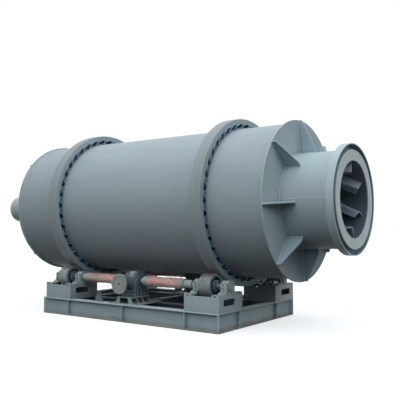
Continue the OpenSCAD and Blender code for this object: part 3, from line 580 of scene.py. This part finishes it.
def wrap_ends(tree):
    """Bare film without paper at both ends of a wrapping, ragged by noise."""
    ragged = add(tree, "TexNoise", {"Vector": object_place(tree), "Scale": 14.0, "Detail": 3.0})
    shift = add(tree, "Math", {0: ragged, 1: 0.5}, operation="SUBTRACT")
    moved = add(tree, "Math", {
        0: shift, 1: 0.14, 2: coordinate(tree, "X")}, operation="MULTIPLY_ADD")
    along = add(tree, "Math", {0: moved}, operation="ABSOLUTE")
    # each border as the place where bare film is full and the place where it ends
    borders = ((along, WRAP_START + 0.05, WRAP_START + 0.07),
               (moved, TUBE_X[0] + 0.02, TUBE_X[0] + 0.04),
               (moved, TUBE_X[1] + 0.045, TUBE_X[1] + 0.03))
    bare = 0.0
    for value, full, none in borders:
        border = add(tree, "MapRange", {
            "Value": value, "From Min": full, "From Max": none, "To Min": 1.0, "To Max": 0.0})
        bare = add(tree, "Math", {0: border, 1: bare}, operation="MAXIMUM")
    return bare


def wrap_stains(tree):
    """Patches where hands and rain have stained the film, most towards the outer ends."""
    along = coordinate(tree, "X")
    left = add(tree, "MapRange", {
        "Value": along, "From Min": TUBE_X[0] + 0.2, "From Max": TUBE_X[0] + 0.55,
        "To Min": 0.9, "To Max": 0.0})
    right = add(tree, "MapRange", {
        "Value": along, "From Min": TUBE_X[1] - 0.3, "From Max": TUBE_X[1], "To Max": 0.7})
    share = add(tree, "Math", {0: left, 1: right}, operation="MAXIMUM")
    return add(tree, "Math", {
        0: share, 1: noise_mask(tree, (12, 18, 18), 0.38, 0.58, 1.0, 5.0)}, operation="MULTIPLY")


def wrapped_paper(name, paper, film, ends, dirt_and_shade):
    """Pink kraft paper under yellowed stretch film: wound at a slant, creased and dusty."""
    made, tree = material(name)
    # slack turns of uneven width, each with a painted highlight across it and painted shade drawn
    # as a thin soft crease at its edge
    wound = add(tree, "TexWave", {
        "Vector": object_place(tree), "Scale": 2.1, "Distortion": 9.0, "Detail": 3.0,
        "Detail Scale": 1.1}, wave_type="BANDS", bands_direction="DIAGONAL", wave_profile="SAW")
    crease_shade = add(tree, "MapRange", {
        "Value": wound.outputs["Fac"], "From Min": 0.1, "From Max": 0.0, "To Max": 0.35})
    tint = coated(tree, shade(paper, 0.86), (wound.outputs["Fac"], shade(paper, 1.12)),
                  (noise_mask(tree, (9, 14, 14), 0.53, 0.65, 0.65, 5.0), film),
                  (level_mask(tree, LINE_Z - 0.015, LINE_Z - 0.07), shade(film, 0.8)),
                  (wrap_stains(tree), shade(film, 0.8)), (wrap_ends(tree), ends), (crease_shade, dirt_and_shade),
                  (noise_mask(tree, (34, 60, 60), 0.6, 0.75, 0.4, 3.0), dirt_and_shade))
    creases = add(tree, "TexVoronoi", {
        "Vector": object_place(tree, (0.7, 1, 1)), "Scale": 26.0}, feature="DISTANCE_TO_EDGE")
    first = add(tree, "Bump", {
        "Height": creases.outputs["Distance"], "Strength": 0.7, "Distance": 0.009})
    second = add(tree, "Bump", {
        "Height": wound.outputs["Fac"], "Strength": 0.5, "Distance": 0.006, "Normal": first})
    shader = add(tree, "BsdfPrincipled", {
        "Base Color": tint, "Roughness": 0.45, "Normal": second,
        "Coat Weight": 0.6, "Coat Roughness": 0.22})
    add(tree, "OutputMaterial", {"Surface": shader})
    return made


def zinc_plate(name, tone):
    """Zinc-plated steel fasteners: soft metallic grey with dull spots."""
    made, tree = material(name)
    spots = add(tree, "TexNoise", {"Vector": object_place(tree), "Scale": 90.0, "Detail": 3.0})
    tint = coated(tree, shade(tone, 0.72), (spots, shade(tone, 1.1)))
    roughness = add(tree, "MapRange", {"Value": spots, "To Min": 0.3, "To Max": 0.55})
    bump = add(tree, "Bump", {"Height": spots, "Strength": 0.3, "Distance": 0.0004})
    shader = add(tree, "BsdfPrincipled", {
        "Base Color": tint, "Metallic": 0.75, "Roughness": roughness, "Normal": bump})
    add(tree, "OutputMaterial", {"Surface": shader})
    return made


def weld_metal(name, tone):
    """Painted weld: the plate's enamel over rippled weld metal, a little paler."""
    made, tree = material(name)
    ripple = add(tree, "TexNoise", {"Vector": object_place(tree), "Scale": 130.0, "Detail": 3.0})
    tint = coated(tree, shade(tone, 0.85), (ripple, shade(tone, 1.25)))
    bump = add(tree, "Bump", {"Height": ripple, "Strength": 0.6, "Distance": 0.002})
    shader = add(tree, "BsdfPrincipled", {"Base Color": tint, "Roughness": 0.5, "Normal": bump})
    add(tree, "OutputMaterial", {"Surface": shader})
    return made


# ---------- masks for this dryer's pieces ----------

def between(tree, value, least, most):
    """1 where a value lies between two limits."""
    above = add(tree, "Math", {0: value, 1: least}, operation="GREATER_THAN")
    below = add(tree, "Math", {0: value, 1: most}, operation="LESS_THAN")
    return add(tree, "Math", {0: above, 1: below}, operation="MULTIPLY")


def on_tread(tree):
    """1 on the treads of the riding rings."""
    return add(tree, "Math", {
        0: axis_distance(tree, 0, AXIS_Z), 1: RING_R - TREAD_SKIN}, operation="GREATER_THAN")


def painted_shade_in_ring_bore(tree):
    """1 in the bore of the riding rings, which gets painted shade."""
    return add(tree, "Math", {
        0: axis_distance(tree, 0, AXIS_Z), 1: RING_BORE + BORE_SKIN}, operation="LESS_THAN")


def painted_shade_under_rings(tree):
    """1 on the shell beneath the riding rings, which gets painted shade."""
    along = coordinate(tree, "X")
    mask = 0.0
    for middle in RING_X:
        off = add(tree, "Math", {0: along, 1: middle}, operation="SUBTRACT")
        away = add(tree, "Math", {0: off}, operation="ABSOLUTE")
        near = add(tree, "MapRange", {
            "Value": away, "From Min": RING_HALF + SHADE_OUT, "From Max": RING_HALF - SHADE_IN})
        mask = add(tree, "Math", {0: near, 1: mask}, operation="MAXIMUM")
    return mask


def green_cast(tree):
    """Wide patches where one spray pass has a greenish cast."""
    return noise_mask(tree, (0.9, 2.2, 2.2), 0.45, 0.62, 0.7, 2.0)


def violet_cast(tree):
    """Smaller patches where the next pass has a violet cast."""
    return noise_mask(tree, (1.5, 3.1, 3.1), 0.5, 0.68, 0.7, 2.0)


def painted_light_on_top_flange(tree):
    """1 on the top faces of the base beams, which get painted light."""
    return level_mask(tree, BEAM_TOP - 3 * SKIN, BEAM_TOP - SKIN)


def painted_flange_highlight(tree):
    """1 on the rolled edges of the beams' top flanges, which get a painted highlight."""
    foot = BEAM_TOP - BEAM_FLANGE
    return add(tree, "Math", {
        0: level_mask(tree, foot - SKIN, foot + SKIN),
        1: level_mask(tree, BEAM_TOP - SKIN, BEAM_TOP - 3 * SKIN)}, operation="MULTIPLY")


def on_lower_edge(tree):
    """1 on the edges of the beams' lower flanges, which the ground has dusted."""
    return level_mask(tree, BEAM_FLANGE + 0.0005, BEAM_FLANGE - 0.0005)


def near_ground(tree):
    """Splashed mud on the lowest part of the base, ragged at its upper edge."""
    return add(tree, "Math", {
        0: level_mask(tree, SPLASH, 0.0), 1: noise_mask(tree, (4, 4, 12), 0.3, 0.6)},
        operation="MULTIPLY")


def line_offset(tree):
    """How far a point lies out from the shaft of its drive line."""
    out = add(tree, "Math", {0: coordinate(tree, "Y")}, operation="ABSOLUTE")
    return add(tree, "Math", {0: out, 1: LINE_Y}, operation="SUBTRACT")


def on_wedge(tree):
    """1 on the part of the wedge above a gearbox's input bell that is coloured with the pale
    primer.
    """
    out, along = line_offset(tree), coordinate(tree, "X")
    left = add(tree, "MapRange", {
        "Value": out, "From Min": WEDGE_OUT[0], "From Max": WEDGE_OUT[1],
        "To Min": WEDGE_LEFT[0], "To Max": WEDGE_LEFT[1]})
    above = level_mask(tree, LINE_Z + WEDGE_FOOT, LINE_Z + WEDGE_FOOT + 10 * SKIN)
    outside = add(tree, "Math", {0: out, 1: WEDGE_OUT[0]}, operation="GREATER_THAN")
    raised = add(tree, "Math", {0: above, 1: outside}, operation="MULTIPLY")
    return add(tree, "Math", {
        0: raised, 1: between(tree, along, left, WEDGE_RIGHT)}, operation="MULTIPLY")


def on_cover_joint(tree):
    """1 where a bearing's cover meets its housing and where its middle steps out."""
    up = add(tree, "Math", {0: coordinate(tree, "Z"), 1: LINE_Z}, operation="SUBTRACT")
    place = add(tree, "CombineXYZ", {"Y": line_offset(tree), "Z": up})
    away = add(tree, "VectorMath", {0: place}, operation="LENGTH")
    inner, outer = [between(tree, away.outputs["Value"], *ring) for ring in COVER_JOINTS]
    return add(tree, "Math", {0: inner, 1: outer}, operation="MAXIMUM")


def flange_ring(tree, inner, outer):
    """1 between two radii about the axis of an input flange."""
    moved = add(tree, "Mapping", {
        "Vector": add(tree, "TexCoord").outputs["Object"],
        "Location": (0, 0, FLANGE_DROP - LINE_Z), "Scale": (1, 0, 1)})
    away = add(tree, "VectorMath", {0: moved}, operation="LENGTH")
    return between(tree, away.outputs["Value"], inner, outer)


def painted_shade_in_motor_bore(tree):
    """1 in the motor bore of an input flange, which is painted black as shade."""
    return flange_ring(tree, -1.0, MOTOR_BORE)


def painted_shade_at_spigot_foot(tree):
    """1 at the foot of the spigot's recess, which gets painted shade."""
    return flange_ring(tree, *SPIGOT_FOOT)


# ---------- operators ----------

def coat(made, *names):
    """Gives CAD nodes a finish."""
    for name in names:
        node = frame["nodes"][name]
        node.data.materials.clear()
        node.data.materials.append(made)


class DRYER_OT_finishes(bpy.types.Operator):
    """Gives every node of the model its finish"""
    bl_idname = "dryer.finishes"
    bl_label = "Finishes"

    def execute(self, context):
        tones = context.scene.dryer_colours
        dirt_and_shade = tones.dirt_and_shade
        # one thick, even coat on rolled plate: wide clouds, long slow dents, a dull sheen, painted
        # shade under the rings and in corners, painted highlights on edges
        coat(enamel("shell_enamel", tones.shell, dirt_and_shade, cloud=(0.45, 1.7, 1.7), contrast=0.06,
                    streak=(0.9, 4, 4), dirt=0.1, dents=0.004, dent_scale=0.9, edge=0.006,
                    shade_strength=0.3, gloss=0.06,
                    layers=((green_cast, tones.green), (violet_cast, tones.violet),
                            (painted_shade_under_rings, tones.gap))), "drum_shell")
        # the same coat on flat plate, with painted highlights on its edges
        plate = dict(cloud=(1.6, 1.6, 1.6), contrast=0.06, streak=(3, 3, 1.2), dirt=0.12,
                     edge=0.007)
        coat(enamel("end_enamel", tones.ends, dirt_and_shade, edge_highlight_gain=1.55, gloss=0.12,
                    layers=((violet_cast, shade(tones.violet, 1.12)),), **plate),
             "end_plate_mouth", "neck_mouth", "end_plate_tail", "neck_tail")
        coat(enamel("rib_enamel", tones.rib, dirt_and_shade, edge_highlight_gain=1.7, **plate),
             "ribs_mouth", "ribs_tail")
        # a lighter copy of the end enamel as painted light, with deep bluish painted shade between
        # the seal band and its web
        coat(enamel("band_enamel", shade(tones.ends, 1.12), tones.gap, streak=(3, 3, 1.2),
                    dirt=0.1, edge=0.007, reach=0.14, shade_strength=0.6), "seal_band")
        coat(enamel("mouth_enamel", tones.mouth, dirt_and_shade, cloud=(2, 2, 2), dirt=0.12,
                    edge_highlight_gain=1.15, reach=0.04), "mouth_plate")
        # thin coat on forged rings, greyer where the rollers have rubbed the treads, with painted
        # shade in their bores
        coat(enamel("ring_enamel", tones.ring, dirt_and_shade, cloud=(2, 2, 2), streak=(30, 1.2, 1.2),
                    dirt=0.2, edge=0.006, edge_highlight_gain=1.12, shade_strength=0.2,
                    layers=((on_tread, tones.tread), (painted_shade_in_ring_bore, tones.gap))),
             "tyre_left", "tyre_right")
        # spacers with bluish painted shade in the gaps between them
        coat(enamel("spacer_enamel", tones.spacer, tones.gap, dirt=0.2, edge_highlight_gain=1.5,
                    shade_strength=0.55, reach=0.05), "tyre_spacers_left", "tyre_spacers_right")
        # brushed enamel on rolled beams: painted highlights on the flange edges, painted light on
        # the top faces, mud and dust at the foot
        beam = dict(streak=(4, 4, 0.6), dirt=0.2, edge=0.006, edge_highlight_gain=1.6)
        foot = ((near_ground, tones.dust), (on_lower_edge, tones.dust))
        coat(enamel("beam_enamel", tones.base, dirt_and_shade, **beam,
                    layers=((painted_flange_highlight, tones.flange),
                            (painted_light_on_top_flange, shade(tones.base, 1.45))) + foot),
             "beam_front", "beam_rear")
        # the end beams in a lighter copy of the base enamel as painted light, with dimmer painted
        # highlights on their flange edges
        coat(enamel("beam_end_enamel", shade(tones.base, 1.14), dirt_and_shade, **beam,
                    layers=((painted_flange_highlight, shade(tones.flange, 0.6)),) + foot),
             "beam_left", "beam_right")
        # coat darkened as painted shade under the drum, thick with dirt
        coat(enamel("deck_enamel", tones.shaded_deck, dirt_and_shade, dirt=0.4, edge=0.005, edge_highlight_gain=1.3,
                    shade_strength=0.6, reach=0.2), "inner_beams", "cross_beams")
        # the base enamel darkened as painted shade on the base's lugs
        coat(enamel("lug_enamel", shade(tones.base, 0.42), dirt_and_shade), "base_lugs")
        # chalky primer that was never painted over
        coat(enamel("lug_primer", tones.lug, dirt_and_shade, dirt=0.05, edge=0.006, edge_highlight_gain=1.3,
                    shade_strength=0.0), "drum_lugs")
        # enamel on folded plate, with painted shade deep into the slots and below the drum
        coat(enamel("pedestal_enamel", tones.pedestal, dirt_and_shade, dirt=0.22, edge=0.005,
                    edge_highlight_gain=1.6, reach=0.6, shade_strength=0.8),
             "gearbox_stands", "pedestal_front_left", "pedestal_front_right")
        # a paler coat as painted light on the rear pedestals' open faces, under heavy painted shade
        # below the drum
        coat(enamel("rear_pedestal_primer", tones.rear, dirt_and_shade, dirt=0.22, edge=0.005,
                    reach=0.9, shade_strength=0.9), "pedestal_rear_left", "pedestal_rear_right")
        # enamel over sand-cast iron: a coarser skin, painted highlights on the edges, dark joints
        coat(enamel("cast_enamel", tones.casting, dirt_and_shade, cloud=(6, 6, 6), contrast=0.1,
                    peel=0.0014, edge=0.007, edge_highlight_gain=1.45, reach=0.05, shade_strength=0.4,
                    layers=((on_cover_joint, shade(tones.casting, 0.3)),)),
             "bearing_bases", "bearing_caps")
        # dark enamel with strong painted highlights on the edges and painted shade in the corners;
        # the wedge above the bell in the pale primer
        coat(enamel("gearbox_enamel", tones.gearbox, dirt_and_shade, cloud=(8, 8, 8), contrast=0.15,
                    dirt=0.5, peel=0.0014, edge=0.008, edge_highlight_gain=3.4, reach=0.05, shade_strength=0.6,
                    layers=((on_wedge, tones.primer),)), "gearbox_front", "gearbox_rear")
        # flat grey-green primer on machined parts, with painted shade in their steps, and on the
        # input flanges at the spigot's foot and in the black bore
        coat(enamel("pale_primer", tones.primer, dirt_and_shade, cloud=(5, 5, 5), dirt=0.25, reach=0.03,
                    shade_strength=0.6), "couplings_front", "couplings_rear")
        coat(enamel("flange_primer", shade(tones.primer, 0.85), dirt_and_shade, cloud=(9, 9, 9),
                    edge=0.007, edge_highlight_gain=1.4, reach=0.03, shade_strength=0.8,
                    layers=((painted_shade_at_spigot_foot, shade(tones.primer, 0.3)),
                            (painted_shade_in_motor_bore, (0, 0, 0, 1)))),
             "motor_flange_front", "motor_flange_rear")
        coat(enamel("pipe_primer", tones.pipe, dirt_and_shade, dirt=0.2), "tail_pipe")
        # dark mill scale with a grey shine, and vanes rubbed smooth by sand, with painted
        # highlights on their folds
        coat(enamel("inner_scale", tones.inside, dirt_and_shade, rough=0.35, gloss=0.8, shade_strength=0.1),
             "inner_drum")
        coat(enamel("vane_enamel", tones.vane, dirt_and_shade, dirt=0.15, rough=0.24, gloss=0.7,
                    edge=0.012, edge_highlight_gain=2.0, shade_strength=0.1), "guide_vanes")
        coat(turned_steel("axle_steel", tones.steel, tones.rust),
             "line_shaft_front", "line_shaft_rear")
        for side, word in zip(SIDES, ("front", "rear")):
            coat(roller_coat("roller_coat_" + word, side, tones), "rollers_" + word)
        return {"FINISHED"}


def bearings():
    """Centre of each bearing and the direction of its round cover."""
    sizes = bpy.context.scene.dryer_sizes
    return [(Vector((x + way * sizes.bearing_off, side * LINE_Y, LINE_Z)), way)
            for side in SIDES for x in RING_X for way in SIDES]


def fasten(bolt, places, name, made):
    """Copies a fastener to its places on the base."""
    finish(spread(bolt, places, name), made, "base")


class DRYER_OT_bearing_bolts(bpy.types.Operator):
    """Adds the foot bolts, cap bolts and cover screws of the eight bearings"""
    bl_idname = "dryer.bearing_bolts"
    bl_label = "Bearing bolts"

    def execute(self, context):
        sizes = context.scene.dryer_sizes
        zinc = zinc_plate("zinc_plate", context.scene.dryer_colours.zinc)
        feet, caps, screws = [], [], []
        for centre, way in bearings():
            for side in SIDES:
                foot = Vector((centre.x, centre.y + side * sizes.foot_bolt_y,
                               SEAT_Z + sizes.foot_h))
                feet.append(frame_at(foot, UP))
                for end_way in SIDES:
                    cap = Vector((end_way * (sizes.bearing_w / 2 - sizes.boss_r),
                                  side * sizes.bearing_r, sizes.boss_h))
                    caps.append(frame_at(centre + cap, UP))
            face = centre + Vector((way * (sizes.bearing_w / 2 + sizes.rim_t), 0, 0))
            screws += around(face, sizes.screw_r, 6, (way, 0, 0), math.pi / 6)
        fasten(hex_bolt(sizes.foot_bolt, stud=sizes.foot_stud), feet, "bearing_foot_bolts", zinc)
        fasten(hex_bolt(sizes.cap_bolt), caps, "bearing_cap_bolts", zinc)
        fasten(hex_bolt(sizes.small_bolt, washer=False), screws, "bearing_cover_screws", zinc)
        return {"FINISHED"}


class DRYER_OT_base_bolts(bpy.types.Operator):
    """Adds the bolts through the stiffener plates of the base's end beams"""
    bl_idname = "dryer.base_bolts"
    bl_label = "Base bolts"

    def execute(self, context):
        sizes = context.scene.dryer_sizes
        end_x = high("beam_right").x - sizes.beam_w / 4
        plate_y = high("inner_beams").y - sizes.beam_w / 2
        places = [frame_at(Vector((x_way * end_x, y_way * plate_y + face * sizes.plate_t / 2,
                                   BEAM_TOP / 2)), (0, face, 0))
                  for x_way in SIDES for y_way in SIDES for face in SIDES]
        fasten(hex_bolt(sizes.cap_bolt), places, "beam_bolts", bpy.data.materials["zinc_plate"])
        return {"FINISHED"}


class DRYER_OT_gearbox_bolts(bpy.types.Operator):
    """Adds the bolts on the gearboxes: side covers, feet and inspection covers"""
    bl_idname = "dryer.gearbox_bolts"
    bl_label = "Gearbox bolts"

    def execute(self, context):
        sizes = context.scene.dryer_sizes
        tones = context.scene.dryer_colours
        # the housing's enamel made paler on the bolt heads as a painted highlight
        paint = enamel("bolt_enamel", shade(tones.gearbox, 1.9), tones.dirt_and_shade, cloud=(40, 40, 40),
                       contrast=0.15)
        cover, foot, lid = [], [], []
        for side in SIDES:
            centre = Vector((0, side * LINE_Y, LINE_Z))
            for way in SIDES:
                cover += around(centre + Vector((way * sizes.gear_face, 0, 0)),
                                sizes.gear_ring, 8, (way, 0, 0), math.pi / 8)
            for x in (-sizes.gear_left, sizes.gear_right):
                foot += [frame_at(centre + Vector((x, y * sizes.gear_out, -sizes.gear_foot)), UP)
                         for y in SIDES]
            half = sizes.lid_half
            lid += [frame_at(centre + Vector((x * half, y * half - side * sizes.lid_in,
                                              sizes.lid_top)), UP)
                    for x in SIDES for y in SIDES]
        fasten(hex_bolt(sizes.gear_bolt), cover, "gearbox_cover_bolts", paint)
        fasten(hex_bolt(sizes.cap_bolt, washer=False, stud=sizes.gear_stud), foot,
               "gearbox_foot_bolts", paint)
        fasten(hex_bolt(sizes.small_bolt, washer=False), lid, "gearbox_lid_screws", paint)
        return {"FINISHED"}


def about_axis(angle, place, turn):
    """Matrix that turns a place in the drum's upright plane about the drum's axis."""
    return (Matrix.Translation((0, 0, AXIS_Z)) @ Matrix.Rotation(angle, 4, "X")
            @ Matrix.Translation(place) @ turn)


def rib_welds(word, plate_x, way, weld):
    """Beads along both sides of each rib's foot on the end plate and of its root on the neck."""
    sizes = bpy.context.scene.dryer_sizes
    out = Matrix.Rotation(0 if way > 0 else math.pi, 4, "Z")
    up = Matrix.Rotation(-QUARTER, 4, "Y")
    roots, feet = [], []
    for i in range(RIBS):
        angle = FIRST_RIB + i * math.tau / RIBS
        for side in SIDES:
            place = (plate_x, side * sizes.rib_t / 2, NECK_R)
            roots.append(about_axis(angle, place, out))
            feet.append(about_axis(angle, place, up))
    rise = radius_of("end_plate_" + word) - RIB_EDGE - NECK_R
    finish(spread(bead_bar("root", sizes.weld, sizes.rib_len), roots, "weld_rib_roots_" + word),
           weld, "drum", BEAD_SMOOTH)
    finish(spread(bead_bar("foot", sizes.weld, rise), feet, "weld_rib_feet_" + word),
           weld, "drum", BEAD_SMOOTH)


class DRYER_OT_welds(bpy.types.Operator):
    """Adds the weld beads of the drum's ends and the seams of its neck"""
    bl_idname = "dryer.welds"
    bl_label = "Welds"

    def execute(self, context):
        sizes = context.scene.dryer_sizes
        leg, seam = sizes.weld, sizes.seam
        weld = weld_metal("painted_weld", shade(context.scene.dryer_colours.ends, 1.4))
        mouth, tail = low("end_plate_mouth").x, high("end_plate_tail").x
        face, back = high("end_plate_mouth").x, low("end_plate_tail").x
        band, lip = low("seal_band").x, high("mouth_plate").x - 0.001
        rings = (("weld_shell_mouth", mouth, SHELL_R, leg), ("weld_neck_mouth", face, NECK_R, leg),
                 ("weld_shell_tail", tail, SHELL_R, leg), ("weld_neck_tail", back, NECK_R, leg),
                 ("weld_neck_band", band, NECK_R, leg),
                 ("weld_neck_seam", sizes.seam_x, NECK_R, seam),
                 ("weld_mouth_lip", lip, NECK_R - sizes.neck_wall / 2, seam))
        for number, (name, x, radius, size) in enumerate(rings):
            finish(bead_ring(name, x, radius, size, number), weld, "drum", BEAD_SMOOTH)
        rib_welds("mouth", face, 1, weld)
        rib_welds("tail", back, -1, weld)
        # the long seam where the neck was rolled shut
        long_seam = bead_bar("weld_neck_long_seam", seam, band - face)
        long_seam.data.transform(about_axis(NECK_SEAM_TURN, (face, 0, NECK_R), Matrix()))
        finish(long_seam, weld, "drum", BEAD_SMOOTH)
        return {"FINISHED"}


def crumpled(name, centre, radii, depth, made, body):
    """Thin creased sleeve along X, from its first radius to its second."""
    sizes = bpy.context.scene.dryer_sizes
    clear()
    bpy.ops.mesh.primitive_cone_add(
        vertices=64, radius1=radii[0] - SLEEVE_T / 2, radius2=radii[1] - SLEEVE_T / 2,
        depth=depth, end_fill_type="NOTHING", location=centre, rotation=(0, QUARTER, 0))
    sleeve = begin(name)
    pick(sleeve, "EDGE", lambda c, d: abs(d.z) > depth * 0.7)
    bpy.ops.mesh.subdivide(number_cuts=max(3, int(depth / SLEEVE_STEP)))
    end()
    settle(sleeve)
    for word, share in (("folds", 1.3), ("creases", 1.0)):
        apply_modifier(sleeve, "DISPLACE", texture=bpy.data.textures[word], mid_level=0.5,
                       strength=sizes.crumple * share, texture_coords="GLOBAL")
    apply_modifier(sleeve, "SOLIDIFY", thickness=SLEEVE_T, offset=-1)
    finish(sleeve, made, body, SLEEVE_SMOOTH)
    return sleeve


class DRYER_OT_wraps(bpy.types.Operator):
    """Adds the creased paper and film round the drive tubes"""
    bl_idname = "dryer.wraps"
    bl_label = "Tube wrapping"

    def execute(self, context):
        tones = context.scene.dryer_colours
        sizes = context.scene.dryer_sizes
        paper = wrapped_paper("wrapped_paper", tones.wrap, tones.film, tones.film_end, tones.dirt_and_shade)
        for name, scale in (("creases", 0.03), ("folds", 0.09)):
            texture = bpy.data.textures.new(name, "CLOUDS")
            texture.noise_scale = scale
            texture.noise_depth = 2
        tail, stop = TUBE_X
        cone, cone_r, inner = sizes.film_from, sizes.film_r, WRAP_START + FILM_LAP
        for side, word in zip(SIDES, ("front", "rear")):
            node = "shaft_wraps_" + word
            tube = radius_of(node)
            # paper over each tube, film over its coupling cone and its far end
            sleeves = (("wrap_%s_left", tail, -WRAP_START, tube, tube),
                       ("wrap_%s_right", WRAP_START, stop, tube, tube),
                       ("film_%s_left", -inner, -cone, tube, cone_r),
                       ("film_%s_right", cone, inner, cone_r, tube),
                       ("film_%s_end", stop - FILM_GRIP, stop + sizes.film_out, tube,
                        tube - FILM_NECK))
            for name, x0, x1, first, last in sleeves:
                sleeve = crumpled(name % word, ((x0 + x1) / 2, side * LINE_Y, LINE_Z),
                                  (first, last), x1 - x0, paper, word + "_line")
                if name == "wrap_%s_left":
                    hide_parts(node)
        return {"FINISHED"}


def seen_white(tree):
    """1 for the rays that look straight, in a gloss or through glass at the surroundings."""
    path = add(tree, "LightPath")
    direct = add(tree, "Math", {
        0: path.outputs["Is Camera Ray"], 1: path.outputs["Is Glossy Ray"]}, operation="MAXIMUM")
    return add(tree, "Math", {
        0: direct, 1: path.outputs["Is Transmission Ray"]},
        operation="MAXIMUM")


def look_along(thing, place, direction):
    """Stands a lamp or camera at a place and turns it along a direction."""
    thing.location = place
    thing.rotation_euler = Vector(direction).to_track_quat("-Z", "Y").to_euler()


class DRYER_OT_stage(bpy.types.Operator):
    """Adds the pale floor, the soft lamps, the white surroundings and the camera"""
    bl_idname = "dryer.stage"
    bl_label = "Stage"

    def execute(self, context):
        scene = context.scene
        clear()
        bpy.ops.mesh.primitive_plane_add(size=160, location=(0, 0, -0.001))
        floor = context.object
        floor.name = "floor"
        # white to the eye but for the dryer's shadow, dark as a yard to the light it throws up
        made, tree = material("pale_floor")
        pale = add(tree, "BsdfDiffuse", {"Color": srgb("#c4c8ca")})
        lift = add(tree, "Emission", {"Color": WHITE, "Strength": 0.6})
        shown = add(tree, "AddShader", {0: pale, 1: lift})
        quiet = add(tree, "BsdfDiffuse", {"Color": srgb("#101111")})
        mixed = add(tree, "MixShader", {0: seen_white(tree), 1: quiet, 2: shown})
        add(tree, "OutputMaterial", {"Surface": mixed})
        floor.data.materials.append(made)

        scene.world = bpy.data.worlds.new("white_surroundings")
        scene.world.use_nodes = True
        tree = scene.world.node_tree
        tree.nodes.clear()
        white = add(tree, "Background", {"Color": WHITE})
        # overcast sky that is hidden by a dark yard close to the horizon
        place = add(tree, "TexCoord").outputs["Generated"]
        up = add(tree, "SeparateXYZ", {0: place})
        dome = add(tree, "MapRange", {
            "Value": up.outputs["Z"], "From Min": -0.06, "From Max": 0.45,
            "To Min": 0.01, "To Max": 0.98}, interpolation_type="SMOOTHSTEP")
        sky = add(tree, "Background", {"Color": srgb("#eef3f6"), "Strength": dome})
        mixed = add(tree, "MixShader", {0: seen_white(tree), 1: sky, 2: white})
        add(tree, "OutputWorld", {"Surface": mixed})

        # each soft lamp with its place, what it is turned to, its width and its power in watts
        lamps = (("overcast", (0.5, -2.0, 9.0), (0.2, 0.4, 0), 9.0, 195),
                 ("front_fill", (3.0, -8.5, 7.0), (0.3, 0, 1.2), 5.0, 172),
                 ("end_fill", (9.5, -1.5, 6.0), (2.0, 0, 1.8), 4.0, 60))
        for name, place, aim, size, power in lamps:
            data = bpy.data.lights.new(name, "AREA")
            data.shape = "SQUARE"
            data.size = size
            data.energy = power
            lamp = bpy.data.objects.new(name, data)
            scene.collection.objects.link(lamp)
            look_along(lamp, place, Vector(aim) - Vector(place))

        data = bpy.data.cameras.new("camera")
        data.sensor_width = CAMERA_SENSOR
        data.lens = CAMERA_LENS
        data.clip_end = 400
        camera = bpy.data.objects.new("camera", data)
        scene.collection.objects.link(camera)
        look_along(camera, CAMERA_PLACE, CAMERA_LOOK)
        scene.camera = camera
        scene.view_settings.view_transform = "Standard"
        return {"FINISHED"}


class DRYER_PT_panel(bpy.types.Panel):
    """Lists the dryer's operators in the sidebar"""
    bl_label = "Rotary sand dryer"
    bl_idname = "DRYER_PT_panel"
    bl_space_type = "VIEW_3D"
    bl_region_type = "UI"
    bl_category = "Dryer"

    def draw(self, context):
        for step in STEPS:
            self.layout.operator(step.bl_idname)


STEPS = (DRYER_OT_stage, DRYER_OT_finishes, DRYER_OT_bearing_bolts, DRYER_OT_base_bolts,
         DRYER_OT_gearbox_bolts, DRYER_OT_welds, DRYER_OT_wraps)
CLASSES = (DryerColours, DryerSizes, DRYER_PT_panel) + STEPS


def register():
    """Registers the classes and gives the scene its settings."""
    for made in CLASSES:
        bpy.utils.register_class(made)
    bpy.types.Scene.dryer_colours = bpy.props.PointerProperty(type=DryerColours)
    bpy.types.Scene.dryer_sizes = bpy.props.PointerProperty(type=DryerSizes)


def unregister():
    """Takes the settings and the classes away again."""
    del bpy.types.Scene.dryer_sizes
    del bpy.types.Scene.dryer_colours
    for made in reversed(CLASSES):
        bpy.utils.unregister_class(made)


def main():
    """Registers the classes and runs every operator in order."""
    register()
    bpy.ops.dryer.stage()
    bpy.ops.dryer.finishes()
    bpy.ops.dryer.bearing_bolts()
    bpy.ops.dryer.base_bolts()
    bpy.ops.dryer.gearbox_bolts()
    bpy.ops.dryer.welds()
    bpy.ops.dryer.wraps()


if __name__ == "__main__":
    main()
